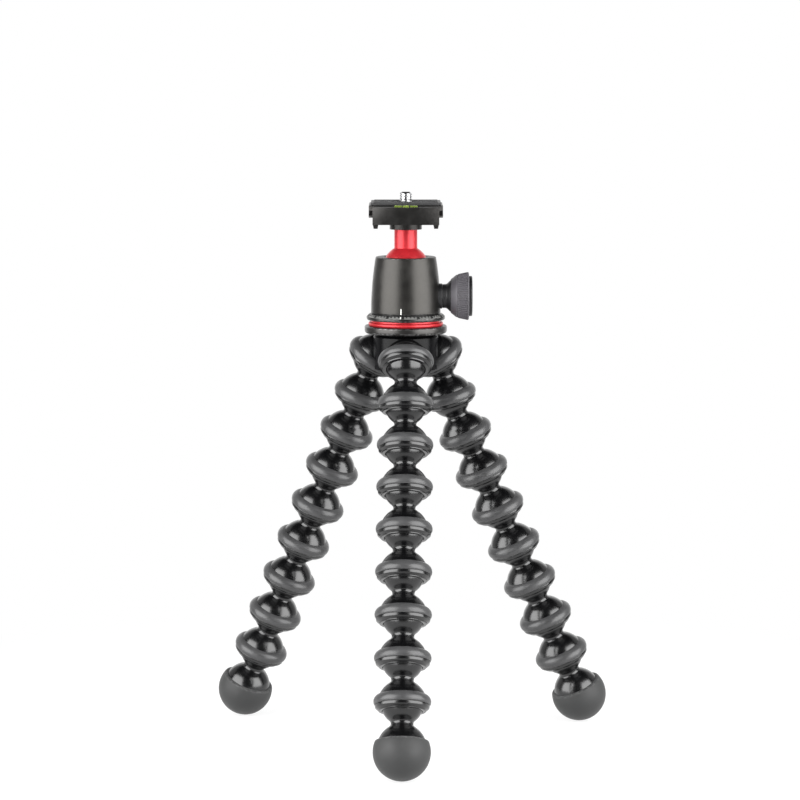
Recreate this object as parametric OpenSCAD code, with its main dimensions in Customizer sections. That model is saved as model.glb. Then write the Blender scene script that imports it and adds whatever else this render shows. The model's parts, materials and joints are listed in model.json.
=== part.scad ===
// Flexible leg tripod: three chains of ball-and-socket links, a hub, a ball head
// with a panning base, and a lever clamp that holds a quick-release camera plate.
// Millimetres, +Z up, the floor at Z = 0, seen from -Y.

/* [Leg links] */
// Diameter of the ball on each link
ball_d = 21.2; // [20.2:0.1:21.8]
// Running gap between a ball and its socket
ball_gap = 0.3; // [0.2:0.05:0.4]
// Wall of a socket shell
socket_wall = 1.5; // [1.2:0.1:1.9]
// Distance between neighbouring ball centres
link_pitch = 22.2; // [21.9:0.1:23]
// Radius of the hollow round the waist of a link
waist_r = 2; // [1.7:0.1:2.4]
// Distance of the socket mouth below the ball centre
mouth_drop = 3.8; // [3.6:0.1:4.3]

/* [Rubber rings] */
// Outer diameter of a ring
ring_d = 28.8; // [28:0.1:30]
// Radius of the round upper edge of a ring
ring_bulge = 3.6; // [3.2:0.1:4]
// Height of a ring's widest circle above the ball centre
ring_rise = 1.1; // [0.8:0.1:1.5]
// Distance of the ledge that carries a ring below the ball centre
ring_ledge = 0.7; // [0.4:0.1:1]
// Step from a ring in to the glossy band below it
ring_line = 0.15; // [0.1:0.05:0.3]

/* [Flares] */
// Height of the glossy band below a ring
flare_band = 1.5; // [1.2:0.1:1.7]
// Taper of the glossy band
flare_taper = 0.3; // [0.1:0.05:0.5]
// Distance of a flare's lower edge below the ball centre
flare_drop = 3.2; // [3:0.1:3.4]
// Reach of a flare's lower edge beyond the socket shell
flare_reach = 0.3; // [0.2:0.05:0.6]

/* [Feet] */
// Diameter of the rubber foot
foot_d = 28.9; // [28:0.1:31]
// Distance of the rubber foot's centre below the foot's own ball
cap_drop = 2; // [1:0.1:2.5]
// Height of the rubber foot's rim above its centre
cap_rise = 5.6; // [4:0.1:7]

/* [Stance] */
// Lean of the front leg's first link from the vertical
front_first_lean = 20; // [18:0.5:26]
// Lean of the left leg's first link from the vertical
left_first_lean = 21; // [18:0.5:26]
// Lean of the right leg's first link from the vertical
right_first_lean = 17; // [17:0.5:26]
// Lean of the rest of the front leg from the vertical
front_lean = 24.3; // [20:0.1:28]
// Direction of the front leg on the floor
front_heading = -91.5; // [-96:0.5:-84]
// Direction of the left leg on the floor
left_heading = 149; // [142:0.5:156]
// Direction of the right leg on the floor
right_heading = 20; // [16:0.5:34]

/* [Hub] */
// Radius of the circle that holds the three hub balls
hub_ball_r = 19.5; // [19:0.1:21]
// Lean of the hub sockets from the vertical
hub_socket_lean = 36; // [34:0.5:40]
// Turn of the hub about its own axis
hub_turn = 0; // [-6:0.5:6]
// Diameter of the hub's middle column
hub_d = 33.6; // [32:0.1:35]
// Height of the hub's top above the hub balls
hub_rise = 13.9; // [13.2:0.1:15]
// Depth of the hub's middle column below the hub balls
hub_fall = 4.6; // [4:0.1:5]
// Diameter of the stud that holds the head
stud_d = 6.35; // [5:0.05:8]
// Diameter of the stud's head
stud_head_d = 10; // [9:0.1:11]
// Height of the stud's head
stud_head_h = 2.8; // [2:0.1:3.2]
// Length of the stud inside the pan base
stud_grip = 5.2; // [4:0.1:5.8]

/* [Platform and pan base] */
// Diameter of the platform on the hub
platform_d = 42.7; // [40:0.1:45]
// Thickness of the platform
platform_t = 4; // [3:0.1:5]
// Diameter of the coloured ring
accent_d = 38.8; // [36:0.1:40]
// Bore of the coloured ring
accent_bore = 27; // [22:0.1:30]
// Thickness of the coloured ring
accent_t = 2.9; // [2:0.1:4]
// Diameter of the pan base
base_d = 40.6; // [39:0.1:42]
// Thickness of the pan base
base_t = 3.1; // [2.6:0.1:4]
// Width of the sloping scale on the pan base
base_bevel = 1.4; // [0.8:0.1:1.8]
// Diameter of the pan base's spindle
spindle_d = 18; // [16:0.1:19]
// Thickness of the pan washer
washer_t = 0.5; // [0.3:0.1:0.8]
// Margin of the pan washer inside the housing's foot
washer_margin = 1.5; // [1:0.1:2.5]
// Thickness of the clip on the spindle
clip_t = 0.8; // [0.6:0.1:1]
// Depth of the clip's groove
clip_groove = 0.6; // [0.4:0.1:0.8]
// Reach of the clip beyond the spindle
clip_out = 1.4; // [1:0.1:1.6]
// Side room of the lock screw in the clip's mouth
clip_room = 1.5; // [1:0.1:2]

/* [Housing] */
// Diameter of the housing at its foot
housing_d = 36; // [35:0.1:38]
// Diameter of the housing at its rim
housing_top_d = 31.2; // [30.6:0.1:33]
// Height of the housing
housing_h = 29; // [28.6:0.1:32]
// Thickness of the floor that closes the housing
floor_ring_t = 2.6; // [2:0.1:3]
// Height of that floor above the housing's foot
floor_ring_up = 0.6; // [0.3:0.1:1]
// Diameter of the head ball
head_ball_d = 24; // [23.4:0.1:24.4]
// Depth of the head ball's centre below the rim
head_ball_drop = 6; // [5.6:0.1:6.4]
// Gap round the head ball
head_ball_gap = 0.3; // [0.2:0.05:0.4]
// Height of the slope round the rim's opening
rim_bevel = 0.8; // [0.5:0.1:1.2]
// Side room of the stem in the portrait notch
notch_gap = 0.5; // [0.3:0.05:1]
// Bore of the ball's seat
seat_bore = 14; // [12:0.1:16]
// Depth of the seat's top below the portrait notch
seat_drop = 0.3; // [0.2:0.05:0.8]

/* [Lock knob] */
// Height of the lock screw above the brake wedge's foot
lock_up = 1.2; // [1:0.1:1.8]
// Diameter of the lock screw
lock_screw_d = 6; // [5:0.1:6.4]
// Diameter of the housing's boss at the lock screw
lock_boss_d = 13; // [12.6:0.1:15]
// Stand of that boss beyond the housing's foot
lock_boss_out = 0.8; // [0.4:0.1:1.6]
// Diameter of the knob's neck
knob_neck_d = 12.4; // [12:0.1:14]
// Length of the knob's neck
knob_neck_l = 3.2; // [2:0.1:5]
// Diameter of the knob's grip
knob_d = 25; // [23:0.1:28]
// Diameter of the grip's narrow end
knob_mouth_d = 17.2; // [16:0.1:18.4]
// Length of the knob's grip
knob_l = 10.4; // [9:0.1:12]
// Wall of the knob's rubber grip
knob_wall = 2.4; // [1.6:0.1:3]
// Diameter of the knob's end cap
knob_cap_d = 20.8; // [18:0.1:21]
// Thickness of the knob's end cap
knob_cap_t = 1.7; // [1.5:0.1:3]
// Depth of the brake wedge's middle below the head ball
wedge_drop = 0.8; // [0.6:0.1:1.2]
// Thickness of the brake wedge at its middle
wedge_t = 2.8; // [2.2:0.1:3.2]
// Rise of the brake wedge from end to end
wedge_rise = 1.6; // [1:0.1:2]
// Half length of the brake wedge
wedge_reach = 9; // [8:0.1:9.6]
// Width of the brake wedge
wedge_w = 10; // [8:0.1:12]

/* [Stem and clamp] */
// Diameter of the ball's stem
stem_d = 11.9; // [11:0.1:12.4]
// Height of the stem's top above the head ball's centre
stem_up = 20.3; // [20:0.1:24]
// Diameter of the screw in the stem
stem_screw_d = 5; // [4:0.1:6]
// Diameter of that screw's head
stem_head_d = 9; // [8:0.1:11]
// Thickness of that screw's head
stem_head_h = 2.5; // [2:0.1:2.8]
// Depth of the screw in the stem
stem_screw_l = 9; // [6:0.1:12]
// Diameter of the clamp's boss
boss_d = 16.7; // [15:0.1:18]
// Height of the clamp's boss
boss_h = 3.6; // [3:0.1:5]
// Width of the clamp
clamp_w = 34; // [32:0.1:37]
// Thickness of the clamp's floor
clamp_floor = 3.2; // [3:0.1:4.5]
// Depth of the fixed and of the moving jaw
jaw_t = 5; // [4.4:0.1:6]
// Thickness of the clamp's side skirts
skirt_t = 3; // [2:0.1:4]
// Drop of the side skirts below the clamp's floor
skirt_drop = 2.6; // [1:0.1:3]
// Length of the side skirts
skirt_l = 28; // [20:0.5:34]
// Depth of the jaws' tops below the plate's top
jaw_low = 0.5; // [0.2:0.1:1]
// Drop of the moving jaw below the clamp's floor
jaw_drop = 2; // [1:0.1:2.4]
// Gap between the dovetail and the jaws
slide_gap = 0.2; // [0.1:0.05:0.3]
// Diameter of the guide pins and of the pull rod
rod_d = 2.4; // [2:0.1:2.6]
// Length of the guide pins and of the pull rod inside the clamp's floor
rod_seat = 8; // [6:0.1:9]
// Distance between the two guide pins
guide_span = 23; // [20:0.1:26]
// Diameter of the level's vial
vial_d = 3.6; // [3:0.1:4]
// Length of the level's vial
vial_l = 12; // [8:0.1:16]

/* [Lever] */
// Radius of the lever's cam
cam_r = 3.4; // [3:0.1:4]
// Throw of the lever's cam
cam_throw = 1; // [0.8:0.05:1.2]
// Gap between the cam and the jaw
cam_gap = 0.3; // [0.3:0.05:0.5]
// Reach of the lever from its pivot
lever_reach = 16; // [13:0.1:18]
// Thickness of the lever's arm
lever_t = 3.2; // [2.4:0.1:4]
// Height of the lever
lever_h = 6.2; // [5:0.1:7]
// Diameter of the lever's pin
lever_pin_d = 2.4; // [2:0.1:2.8]
// Thickness of the pull rod's eye
eye_t = 2.6; // [2.5:0.1:3]
// Wall of the pull rod's eye
eye_wall = 1.2; // [0.8:0.1:1.4]

/* [Camera plate] */
// Length of the plate, along the dovetail
plate_l = 38; // [34:0.1:42]
// Width of the dovetail at its foot
plate_w = 38; // [36:0.1:40]
// Thickness of the plate
plate_t = 6; // [5:0.1:7]
// Height of the dovetail's straight foot
dovetail_foot = 1; // [0.6:0.1:1.4]
// Depth of the dovetail's slope
dovetail_in = 2.6; // [2:0.1:3.2]
// Thickness of the rubber pad
pad_t = 1.2; // [0.8:0.1:2]
// Margin of the pad inside the plate's top
pad_margin = 1; // [0.5:0.1:2]
// Diameter of the camera screw
screw_d = 6.35; // [5:0.05:9.6]
// Length of the camera screw above the pad
screw_out = 5.1; // [4:0.1:6]
// Diameter of the camera screw's head
screw_head_d = 15; // [13:0.1:17]
// Thickness of the camera screw's head
screw_head_t = 2.2; // [1.6:0.1:2.6]
// Width of the coin slot in the screw's head
screw_slot = 1.4; // [1:0.1:2]
// Diameter of the screw's neck below its thread
screw_neck_d = 5.2; // [4:0.1:6]
// Sink of the screw's head in the plate
screw_sink = 0.8; // [0.4:0.1:1]
// Room of the pad round the screw
pad_room = 2; // [1:0.1:4]

/* [Fits] */
// Gap between a rubber piece and what it sits on
rubber_fit = 0.05; // [0.02:0.01:0.1]
// Gap between parts that are screwed or pressed together
part_fit = 0.05; // [0.02:0.01:0.1]
// Running gap of turning and sliding pins
turn_fit = 0.05; // [0.03:0.01:0.1]
// Gap between parts that move past each other
move_gap = 0.3; // [0.2:0.05:0.4]
// Radius of the softened edges of the turned plates
edge_r = 0.8; // [0.4:0.1:1]

/* [Hidden] */
LINKS = 8;
LEGS = ["front", "left", "right"];
$fn = 64;

// Overlap that lets cuts and joined shapes meet cleanly
eps = 0.02;
// A length beyond the whole object, for cuts
far = 400;

// Link sizes
ball_r = ball_d / 2;
socket_r = ball_r + ball_gap;
dome_r = socket_r + socket_wall;
ring_r = ring_d / 2;
ledge_r = ring_r - ring_bulge + sqrt(pow(ring_bulge, 2) - pow(ring_rise + ring_ledge, 2)) - ring_line;
flare_end_r = sqrt(pow(dome_r, 2) - pow(flare_drop, 2)) + flare_reach;
foot_r = foot_d / 2;
// Centre of the circle that hollows the waist, touching the ball and the dome
waist_z = (pow(link_pitch, 2) + pow(ball_r + waist_r, 2) - pow(dome_r + waist_r, 2)) / (2 * link_pitch);
waist_x = sqrt(pow(ball_r + waist_r, 2) - pow(waist_z, 2));
// Point where the waist's circle touches a circle of radius r centred on the axis
function touch(r, centre_z) = [waist_x, -waist_z - centre_z] * r / (r + waist_r) + [0, centre_z];

// Stance: the side legs take the lean that brings their feet to the floor
leg_run = LINKS * link_pitch + cap_drop;
hub_z = foot_r + link_pitch * cos(front_first_lean) + leg_run * cos(front_lean);
function rest_lean(first) = acos((hub_z - foot_r - link_pitch * cos(first)) / leg_run);
first_leans = [front_first_lean, left_first_lean, right_first_lean];
leans = [for (first = first_leans) rest_lean(first)];
headings = [front_heading, left_heading, right_heading];
hub_turns = [for (i = [0 : 2]) hub_turn - 90 - i * 120];
function lean_dir(lean, heading) = [sin(lean) * cos(heading), sin(lean) * sin(heading), -cos(lean)];
function hub_ball(leg) = [hub_ball_r * cos(hub_turns[leg]), hub_ball_r * sin(hub_turns[leg]), hub_z];
function link_lean(leg, i) = i == 1 ? first_leans[leg] : leans[leg];
// Centre of ball i of a leg, counted from the hub, about the tripod's own axis
function ball_at(leg, i) = hub_ball(leg)
    + (i > 1 ? link_pitch * lean_dir(first_leans[leg], headings[leg]) : [0, 0, 0])
    + (i > 2 ? (i - 2) * link_pitch * lean_dir(leans[leg], headings[leg]) : [0, 0, 0]);
function foot_at(leg) = ball_at(leg, LINKS + 1)
    + (link_pitch + cap_drop) * lean_dir(leans[leg], headings[leg]);
feet = [for (leg = [0 : 2]) foot_at(leg)];
// Place of the tripod's axis, which centres the feet's box on the origin
axis_x = -(min([for (f = feet) f[0]]) + max([for (f = feet) f[0]])) / 2;
axis_y = -(min([for (f = feet) f[1]]) + max([for (f = feet) f[1]])) / 2;

// Heights up the axis
hub_top = hub_z + hub_rise;
hub_bottom = hub_z - hub_fall;
platform_top = hub_top + platform_t;
accent_top = platform_top + accent_t;
base_top = accent_top + base_t;
housing_z = base_top + washer_t;
rim_z = housing_z + housing_h;
head_ball_z = rim_z - head_ball_drop;
stem_top = head_ball_z + stem_up;
clamp_z = stem_top + boss_h;
clamp_top = clamp_z + clamp_floor;
plate_z = clamp_top + slide_gap;
plate_top = plate_z + plate_t;
pad_top = plate_top + pad_t;

// Housing
head_ball_r = head_ball_d / 2;
ball_room_r = head_ball_r + head_ball_gap;
bore_r = ball_room_r + move_gap;
spindle_r = spindle_d / 2;
floor_z = housing_z + floor_ring_up;
floor_top = floor_z + floor_ring_t;
clip_z = floor_top + turn_fit;
stem_r = stem_d / 2;
notch_r = stem_r + notch_gap;
seat_top = head_ball_z - notch_r - seat_drop;
// Radius of the ball's room at the foot of the rim's slope
rim_r = sqrt(pow(ball_room_r, 2) - pow(head_ball_drop - rim_bevel, 2));
// The housing's outline bows in towards the rim
housing_steps = 6;
function housing_r(up) = housing_d / 2 - (housing_d - housing_top_d) / 2 * pow(up / housing_h, 2);

// Brake: the wedge's slope runs under the seat
wedge_gap = move_gap / 2;
wedge_mid = head_ball_z - head_ball_r - wedge_drop;
wedge_angle = atan(wedge_rise / (2 * wedge_reach));
wedge_floor = wedge_mid - wedge_t;
lock_z = wedge_floor + lock_up;
// The spindle reaches up to the wedge, which presses on both it and the seat
spindle_top = wedge_floor - move_gap;

// Knob, along the lock screw from the housing's axis
lock_boss_reach = housing_d / 2 + lock_boss_out;
lock_tip = wedge_reach + move_gap;
knob_x = lock_boss_reach + move_gap;
grip_x = knob_x + knob_neck_l;
cap_x = grip_x + knob_l;
knob_r = knob_d / 2;
knob_core_r = knob_r - knob_wall;
// Where the grip's flare ends and its rounded shoulder ends
flare_end = grip_x + knob_l / 3;
shoulder_end = grip_x + knob_l * 2 / 3;

// Clamp: the fixed jaw is in front, the moving jaw behind
jaw_in = plate_w / 2 + slide_gap;
jaw_top = plate_top - jaw_low;
jaw_y = plate_w / 2;
floor_back = jaw_y - move_gap;
jaw_back = jaw_y + jaw_t;
rod_z = clamp_z + clamp_floor / 2;
pivot_y = jaw_back + cam_gap + cam_r + cam_throw;
lever_z = rod_z - lever_h / 2;
rod_start = floor_back - rod_seat;
guide_places = [-guide_span / 2, guide_span / 2];
eye_r = lever_pin_d / 2 + eye_wall;
vial_y = -jaw_in - (jaw_t - dovetail_in) / 2;
vial_z = jaw_top - vial_d / 4;

// Turned solid of an outline given as radius and height
module turned() {
    rotate_extrude() intersection() {
        children();
        translate([0, -far]) square([far, 2 * far]);
    }
}

// Glossy flare round a socket whose ball centre is at the origin
module flare_outline() {
    polygon([
        [socket_r, -ring_ledge], [ledge_r, -ring_ledge], [ledge_r - flare_taper, -ring_ledge - flare_band],
        [flare_end_r, -flare_drop], [socket_r, -flare_drop]]);
}

// A link stands with its ball at the origin and its socket below
module link_outline(solid_dome) {
    difference() {
        union() {
            circle(ball_r);
            translate([0, -link_pitch]) {
                circle(dome_r);
                if (!solid_dome) flare_outline();
            }
            polygon([
                [0, 0], touch(ball_r, 0), [waist_x, -waist_z],
                touch(dome_r, -link_pitch), [0, -link_pitch]]);
        }
        translate([waist_x, -waist_z]) circle(waist_r + eps);
        if (!solid_dome) {
            translate([0, -link_pitch]) circle(socket_r);
            translate([-far, -link_pitch - mouth_drop - far]) square([2 * far, far]);
        }
    }
}

module link_core(solid_dome = false) {
    color("#141416") turned() link_outline(solid_dome);
}

// Rubber ring round a socket whose ball centre is at the origin
module ring() {
    color("#5b5b5d") turned() difference() {
        translate([ring_r - ring_bulge, ring_rise]) circle(ring_bulge);
        circle(dome_r + rubber_fit);
        translate([-far, rubber_fit - ring_ledge - far]) square([2 * far, far]);
    }
}

module place_link(leg, i) {
    lean = link_lean(leg, i);
    translate([axis_x, axis_y, 0] + ball_at(leg, i)) rotate([0, -lean, headings[leg]]) children();
}

module link(leg, i) {
    place_link(leg, i) {
        link_core();
        translate([0, 0, -link_pitch]) ring();
    }
}

module foot(leg) {
    place_link(leg, LINKS + 1) link_core(solid_dome = true);
}

module foot_cap(leg) {
    color("#4c4d4e") place_link(leg, LINKS + 1)
        turned() difference() {
            translate([0, -link_pitch - cap_drop]) circle(foot_r);
            translate([0, -link_pitch]) circle(dome_r + rubber_fit);
            translate([-far, -link_pitch - cap_drop + cap_rise]) square([2 * far, far]);
        }
}

module on_axis() {
    translate([axis_x, axis_y, 0]) children();
}

module at_hub_socket(leg) {
    on_axis() translate(hub_ball(leg)) rotate([0, -hub_socket_lean, hub_turns[leg]]) children();
}

module disc(d, z, h) {
    translate([0, 0, z]) cylinder(d = d, h = h);
}

module hub_body() {
    // Room round a ring, so that the column stands clear of it
    ring_room = ring_r + move_gap;
    ring_shelf = ring_rise + ring_bulge + move_gap;
    color("#161618") difference() {
        union() {
            difference() {
                on_axis() disc(hub_d, hub_bottom, hub_top - hub_bottom);
                for (leg = [0 : 2]) at_hub_socket(leg)
                    translate([0, 0, ring_shelf - far]) cylinder(r = ring_room, h = far);
            }
            for (leg = [0 : 2]) at_hub_socket(leg) {
                sphere(dome_r);
                turned() flare_outline();
            }
        }
        for (leg = [0 : 2]) at_hub_socket(leg) {
            sphere(socket_r);
            translate([0, 0, -mouth_drop - far]) cylinder(r = ring_room, h = far);
        }
        on_axis() {
            disc(stud_d + 2 * part_fit, hub_bottom - 1, far);
            disc(stud_head_d + 2 * part_fit, hub_bottom - far, far + stud_head_h);
        }
    }
}

module hub_rings() {
    for (leg = [0 : 2]) at_hub_socket(leg) ring();
}

module hub_stud() {
    color("#9a9a9c") on_axis() {
        difference() {
            disc(stud_head_d, hub_bottom, stud_head_h);
            // Hexagon socket
            translate([0, 0, hub_bottom - 1]) cylinder(d = stud_head_d / 2, h = stud_head_h, $fn = 6);
        }
        disc(stud_d, hub_bottom + stud_head_h - eps, accent_top + stud_grip - hub_bottom - stud_head_h);
    }
}

// Round plate with softened edges
module round_plate(d, z, h) {
    translate([0, 0, z]) rotate_extrude() union() {
        square([d / 2 - edge_r, h]);
        translate([0, edge_r]) square([d / 2, h - 2 * edge_r]);
        for (up = [edge_r, h - edge_r]) translate([d / 2 - edge_r, up]) circle(edge_r);
    }
}

module platform() {
    color("#3a3a3c") on_axis() difference() {
        union() {
            round_plate(platform_d, hub_top, platform_t);
            disc(accent_bore - 2 * part_fit, platform_top - eps, accent_t + eps);
        }
        disc(stud_d + 2 * part_fit, hub_top - 1, far);
    }
}

module accent_ring() {
    color("#c8332f") on_axis() difference() {
        round_plate(accent_d, platform_top, accent_t);
        disc(accent_bore, platform_top - 1, far);
    }
}

module pan_base() {
    color("#2f2f31") on_axis() difference() {
        rotate_extrude() polygon([
            [0, accent_top], [base_d / 2 - edge_r, accent_top], [base_d / 2, accent_top + edge_r],
            [base_d / 2, base_top - base_bevel], [base_d / 2 - base_bevel, base_top],
            [spindle_r, base_top], [spindle_r, clip_z - part_fit],
            [spindle_r - clip_groove, clip_z - part_fit],
            [spindle_r - clip_groove, clip_z + clip_t + part_fit],
            [spindle_r, clip_z + clip_t + part_fit], [spindle_r, spindle_top], [0, spindle_top]]);
        disc(stud_d + 2 * part_fit, accent_top - 1, 1 + stud_grip + part_fit);
    }
}

module pan_washer() {
    color("#e8e4da") on_axis() difference() {
        disc(housing_d - 2 * washer_margin, base_top, washer_t);
        disc(spindle_d + 2 * turn_fit, base_top - 1, far);
    }
}

module housing() {
    rise = [for (i = [0 : housing_steps]) i * housing_h / housing_steps];
    color("#3b3a38") on_axis() difference() {
        union() {
            rotate_extrude() polygon(concat(
                [[0, housing_z]],
                [for (up = rise) [housing_r(up), housing_z + up]],
                [[0, rim_z]]));
            // The boss ends at the housing's foot
            intersection() {
                translate([bore_r, 0, lock_z]) rotate([0, 90, 0])
                    cylinder(d = lock_boss_d, h = lock_boss_reach - bore_r);
                disc(far, housing_z, housing_h);
            }
        }
        disc(2 * bore_r, housing_z - 1, head_ball_z - housing_z + 1);
        translate([0, 0, head_ball_z]) sphere(ball_room_r);
        translate([0, 0, rim_z - rim_bevel]) cylinder(r1 = rim_r, r2 = rim_r + rim_bevel, h = rim_bevel + eps);
        translate([0, 0, lock_z]) rotate([0, 90, 0]) cylinder(d = lock_screw_d + 2 * turn_fit, h = far);
        // Portrait notch behind
        translate([0, 0, head_ball_z]) rotate([-90, 0, 0]) cylinder(r = notch_r, h = far);
        translate([-notch_r, 0, head_ball_z]) cube([2 * notch_r, far, far]);
    }
}

module housing_floor() {
    color("#8c8c8e") on_axis() difference() {
        disc(2 * (bore_r - part_fit), floor_z, floor_ring_t);
        disc(spindle_d + 2 * turn_fit, floor_z - 1, far);
        // Groove under the lock screw, where the housing is too low to clear it
        translate([0, 0, lock_z]) rotate([0, 90, 0]) cylinder(d = lock_screw_d + 2 * move_gap, h = far);
    }
}

module pan_clip() {
    // The mouth faces the lock screw
    mouth = lock_screw_d / 2 + clip_room;
    color("#8c8c8e") on_axis() difference() {
        disc(spindle_d + 2 * clip_out, clip_z, clip_t);
        disc(spindle_d - 2 * clip_groove + 2 * part_fit, clip_z - 1, far);
        translate([0, -mouth, clip_z - 1]) cube([far, 2 * mouth, far]);
    }
}

// Half space above the wedge's slope, raised by up
module above_slope(up) {
    translate([0, 0, wedge_mid + up]) rotate([0, -wedge_angle, 0]) translate([-far / 2, -far / 2, 0])
        cube([far, far, far]);
}

module ball_seat() {
    color("#d8d2c4") on_axis() intersection() {
        difference() {
            disc(2 * (bore_r - move_gap), wedge_floor, seat_top - wedge_floor);
            translate([0, 0, head_ball_z]) sphere(ball_room_r);
            disc(seat_bore, wedge_floor - 1, far);
            // Groove over the tip of the lock screw
            translate([0, 0, lock_z]) rotate([0, 90, 0]) cylinder(d = lock_screw_d + 2 * move_gap, h = far);
        }
        above_slope(wedge_gap);
    }
}

module brake_wedge() {
    color("#b08d4a") on_axis() difference() {
        translate([-wedge_reach, -wedge_w / 2, wedge_floor])
            cube([2 * wedge_reach, wedge_w, head_ball_z - wedge_floor]);
        above_slope(0);
    }
}

// Along the lock screw, away from the housing
module along_lock() {
    on_axis() translate([0, 0, lock_z]) rotate([0, 90, 0]) children();
}

module lock_screw() {
    color("#9a9a9c") along_lock() disc(lock_screw_d, lock_tip, cap_x - lock_tip);
}

module knob_core() {
    color("#1a1a1b") along_lock() difference() {
        union() {
            disc(knob_neck_d, knob_x, knob_neck_l + eps);
            translate([0, 0, grip_x]) cylinder(d1 = knob_neck_d, r2 = knob_core_r, h = flare_end - grip_x);
            disc(2 * knob_core_r, flare_end - eps, cap_x - flare_end + eps);
        }
        disc(lock_screw_d + 2 * part_fit, knob_x - 1, far);
    }
}

module knob_grip() {
    color("#57545b") along_lock() difference() {
        rotate_extrude() polygon([
            [0, grip_x], [knob_mouth_d / 2, grip_x], [knob_r - 2 * edge_r, flare_end],
            [knob_r - edge_r / 2, shoulder_end], [knob_r, cap_x], [0, cap_x]]);
        // Room of the knob's core
        translate([0, 0, grip_x - eps]) cylinder(
            r1 = knob_neck_d / 2 + rubber_fit, r2 = knob_core_r + rubber_fit, h = flare_end - grip_x + eps);
        disc(2 * (knob_core_r + rubber_fit), flare_end - eps, far);
    }
}

module knob_cap() {
    color("#1d1d1e") along_lock() round_plate(knob_cap_d, cap_x, knob_cap_t);
}

module ball_stem() {
    color("#cf2b38") on_axis() difference() {
        union() {
            translate([0, 0, head_ball_z]) sphere(head_ball_r);
            disc(stem_d, head_ball_z, stem_up);
        }
        disc(stem_screw_d + 2 * part_fit, stem_top - stem_screw_l - part_fit, far);
    }
}

// Dovetail groove of the clamp, seen from its end, grown by the sliding gap
module dovetail_outline(gap) {
    half = plate_w / 2 + gap;
    neck = half - dovetail_in;
    foot_h = dovetail_foot + gap;
    polygon([
        [-half, 0], [half, 0], [half, foot_h], [neck, foot_h + dovetail_in], [neck, plate_t],
        [-neck, plate_t], [-neck, foot_h + dovetail_in], [-half, foot_h]]);
}

// Sets an outline that is drawn across the clamp along its width
module across(width) {
    rotate([90, 0, 90]) translate([0, 0, -width / 2]) linear_extrude(width) children();
}

module groove() {
    translate([0, 0, clamp_top]) across(far) {
        dovetail_outline(slide_gap);
        neck = plate_w / 2 + slide_gap - dovetail_in;
        translate([-neck, dovetail_in]) square([2 * neck, far]);
    }
}

// Rods that run from the clamp's floor to the moving jaw, at the places given across it
module rods(places, r, end) {
    for (x = places) translate([x, rod_start, rod_z]) rotate([-90, 0, 0]) cylinder(r = r, h = end - rod_start);
}

module clamp_base() {
    front = jaw_in + jaw_t;
    color("#222224") on_axis() difference() {
        union() {
            disc(boss_d, stem_top, boss_h + eps);
            translate([-clamp_w / 2, -front, clamp_z]) cube([clamp_w, front + floor_back, clamp_floor]);
            translate([-clamp_w / 2, -front, clamp_z]) cube([clamp_w, jaw_t + dovetail_in, jaw_top - clamp_z]);
            for (side = [-1, 1]) translate([side * (clamp_w - skirt_t) / 2, 0, clamp_z + eps]) skirt();
        }
        groove();
        rods(concat(guide_places, [0]), rod_d / 2 + part_fit, far);
        disc(stem_screw_d + 2 * part_fit, stem_top - 1, far);
        disc(stem_head_d + 2 * part_fit, clamp_top - stem_head_h, far);
        vial_bed();
    }
}

// Side skirt that narrows downwards
module skirt() {
    rotate([90, 0, 0]) translate([0, 0, -skirt_l / 2]) linear_extrude(skirt_l) polygon([
        [-skirt_t / 2, 0], [skirt_t / 2, 0], [skirt_t / 3, -skirt_drop], [-skirt_t / 3, -skirt_drop]]);
}

module stem_screw() {
    color("#9a9a9c") on_axis() difference() {
        union() {
            disc(stem_screw_d, stem_top - stem_screw_l, clamp_top - stem_head_h - stem_top + stem_screw_l + eps);
            disc(stem_head_d, clamp_top - stem_head_h, stem_head_h);
        }
        translate([0, 0, clamp_top - stem_head_h / 2]) cylinder(d = stem_screw_d, h = far, $fn = 6);
    }
}

module guide_pins() {
    color("#b4b4b6") on_axis() rods(guide_places, rod_d / 2, jaw_back - edge_r);
}

// Bed of the level's vial in the top of the fixed jaw
module vial_bed() {
    translate([0, vial_y, vial_z]) rotate([0, 90, 0])
        cylinder(d = vial_d + 2 * part_fit, h = vial_l + 2 * part_fit, center = true);
}

module level_vial() {
    color("#b9d84a") on_axis() translate([0, vial_y, vial_z]) rotate([0, 90, 0])
        cylinder(d = vial_d, h = vial_l, center = true);
}

module pull_rod() {
    color("#9a9a9c") on_axis() difference() {
        union() {
            rods([0], rod_d / 2, pivot_y);
            translate([0, pivot_y, rod_z]) cylinder(r = eye_r, h = eye_t, center = true);
        }
        translate([0, pivot_y, rod_z]) cylinder(d = lever_pin_d + 2 * part_fit, h = far, center = true);
    }
}

module lever_pin() {
    color("#b4b4b6") on_axis() translate([0, pivot_y, lever_z - edge_r])
        cylinder(d = lever_pin_d, h = lever_h + 2 * edge_r);
}

module clamp_jaw() {
    color("#222224") on_axis() difference() {
        translate([-clamp_w / 2, 0, 0]) union() {
            translate([0, jaw_y, clamp_z - jaw_drop]) cube([clamp_w, jaw_t, jaw_top - clamp_z + jaw_drop]);
            translate([0, jaw_y - dovetail_in, clamp_top + dovetail_foot])
                cube([clamp_w, dovetail_in + eps, jaw_top - clamp_top - dovetail_foot]);
        }
        groove();
        rods(concat(guide_places, [0]), rod_d / 2 + turn_fit, far);
    }
}

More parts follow.
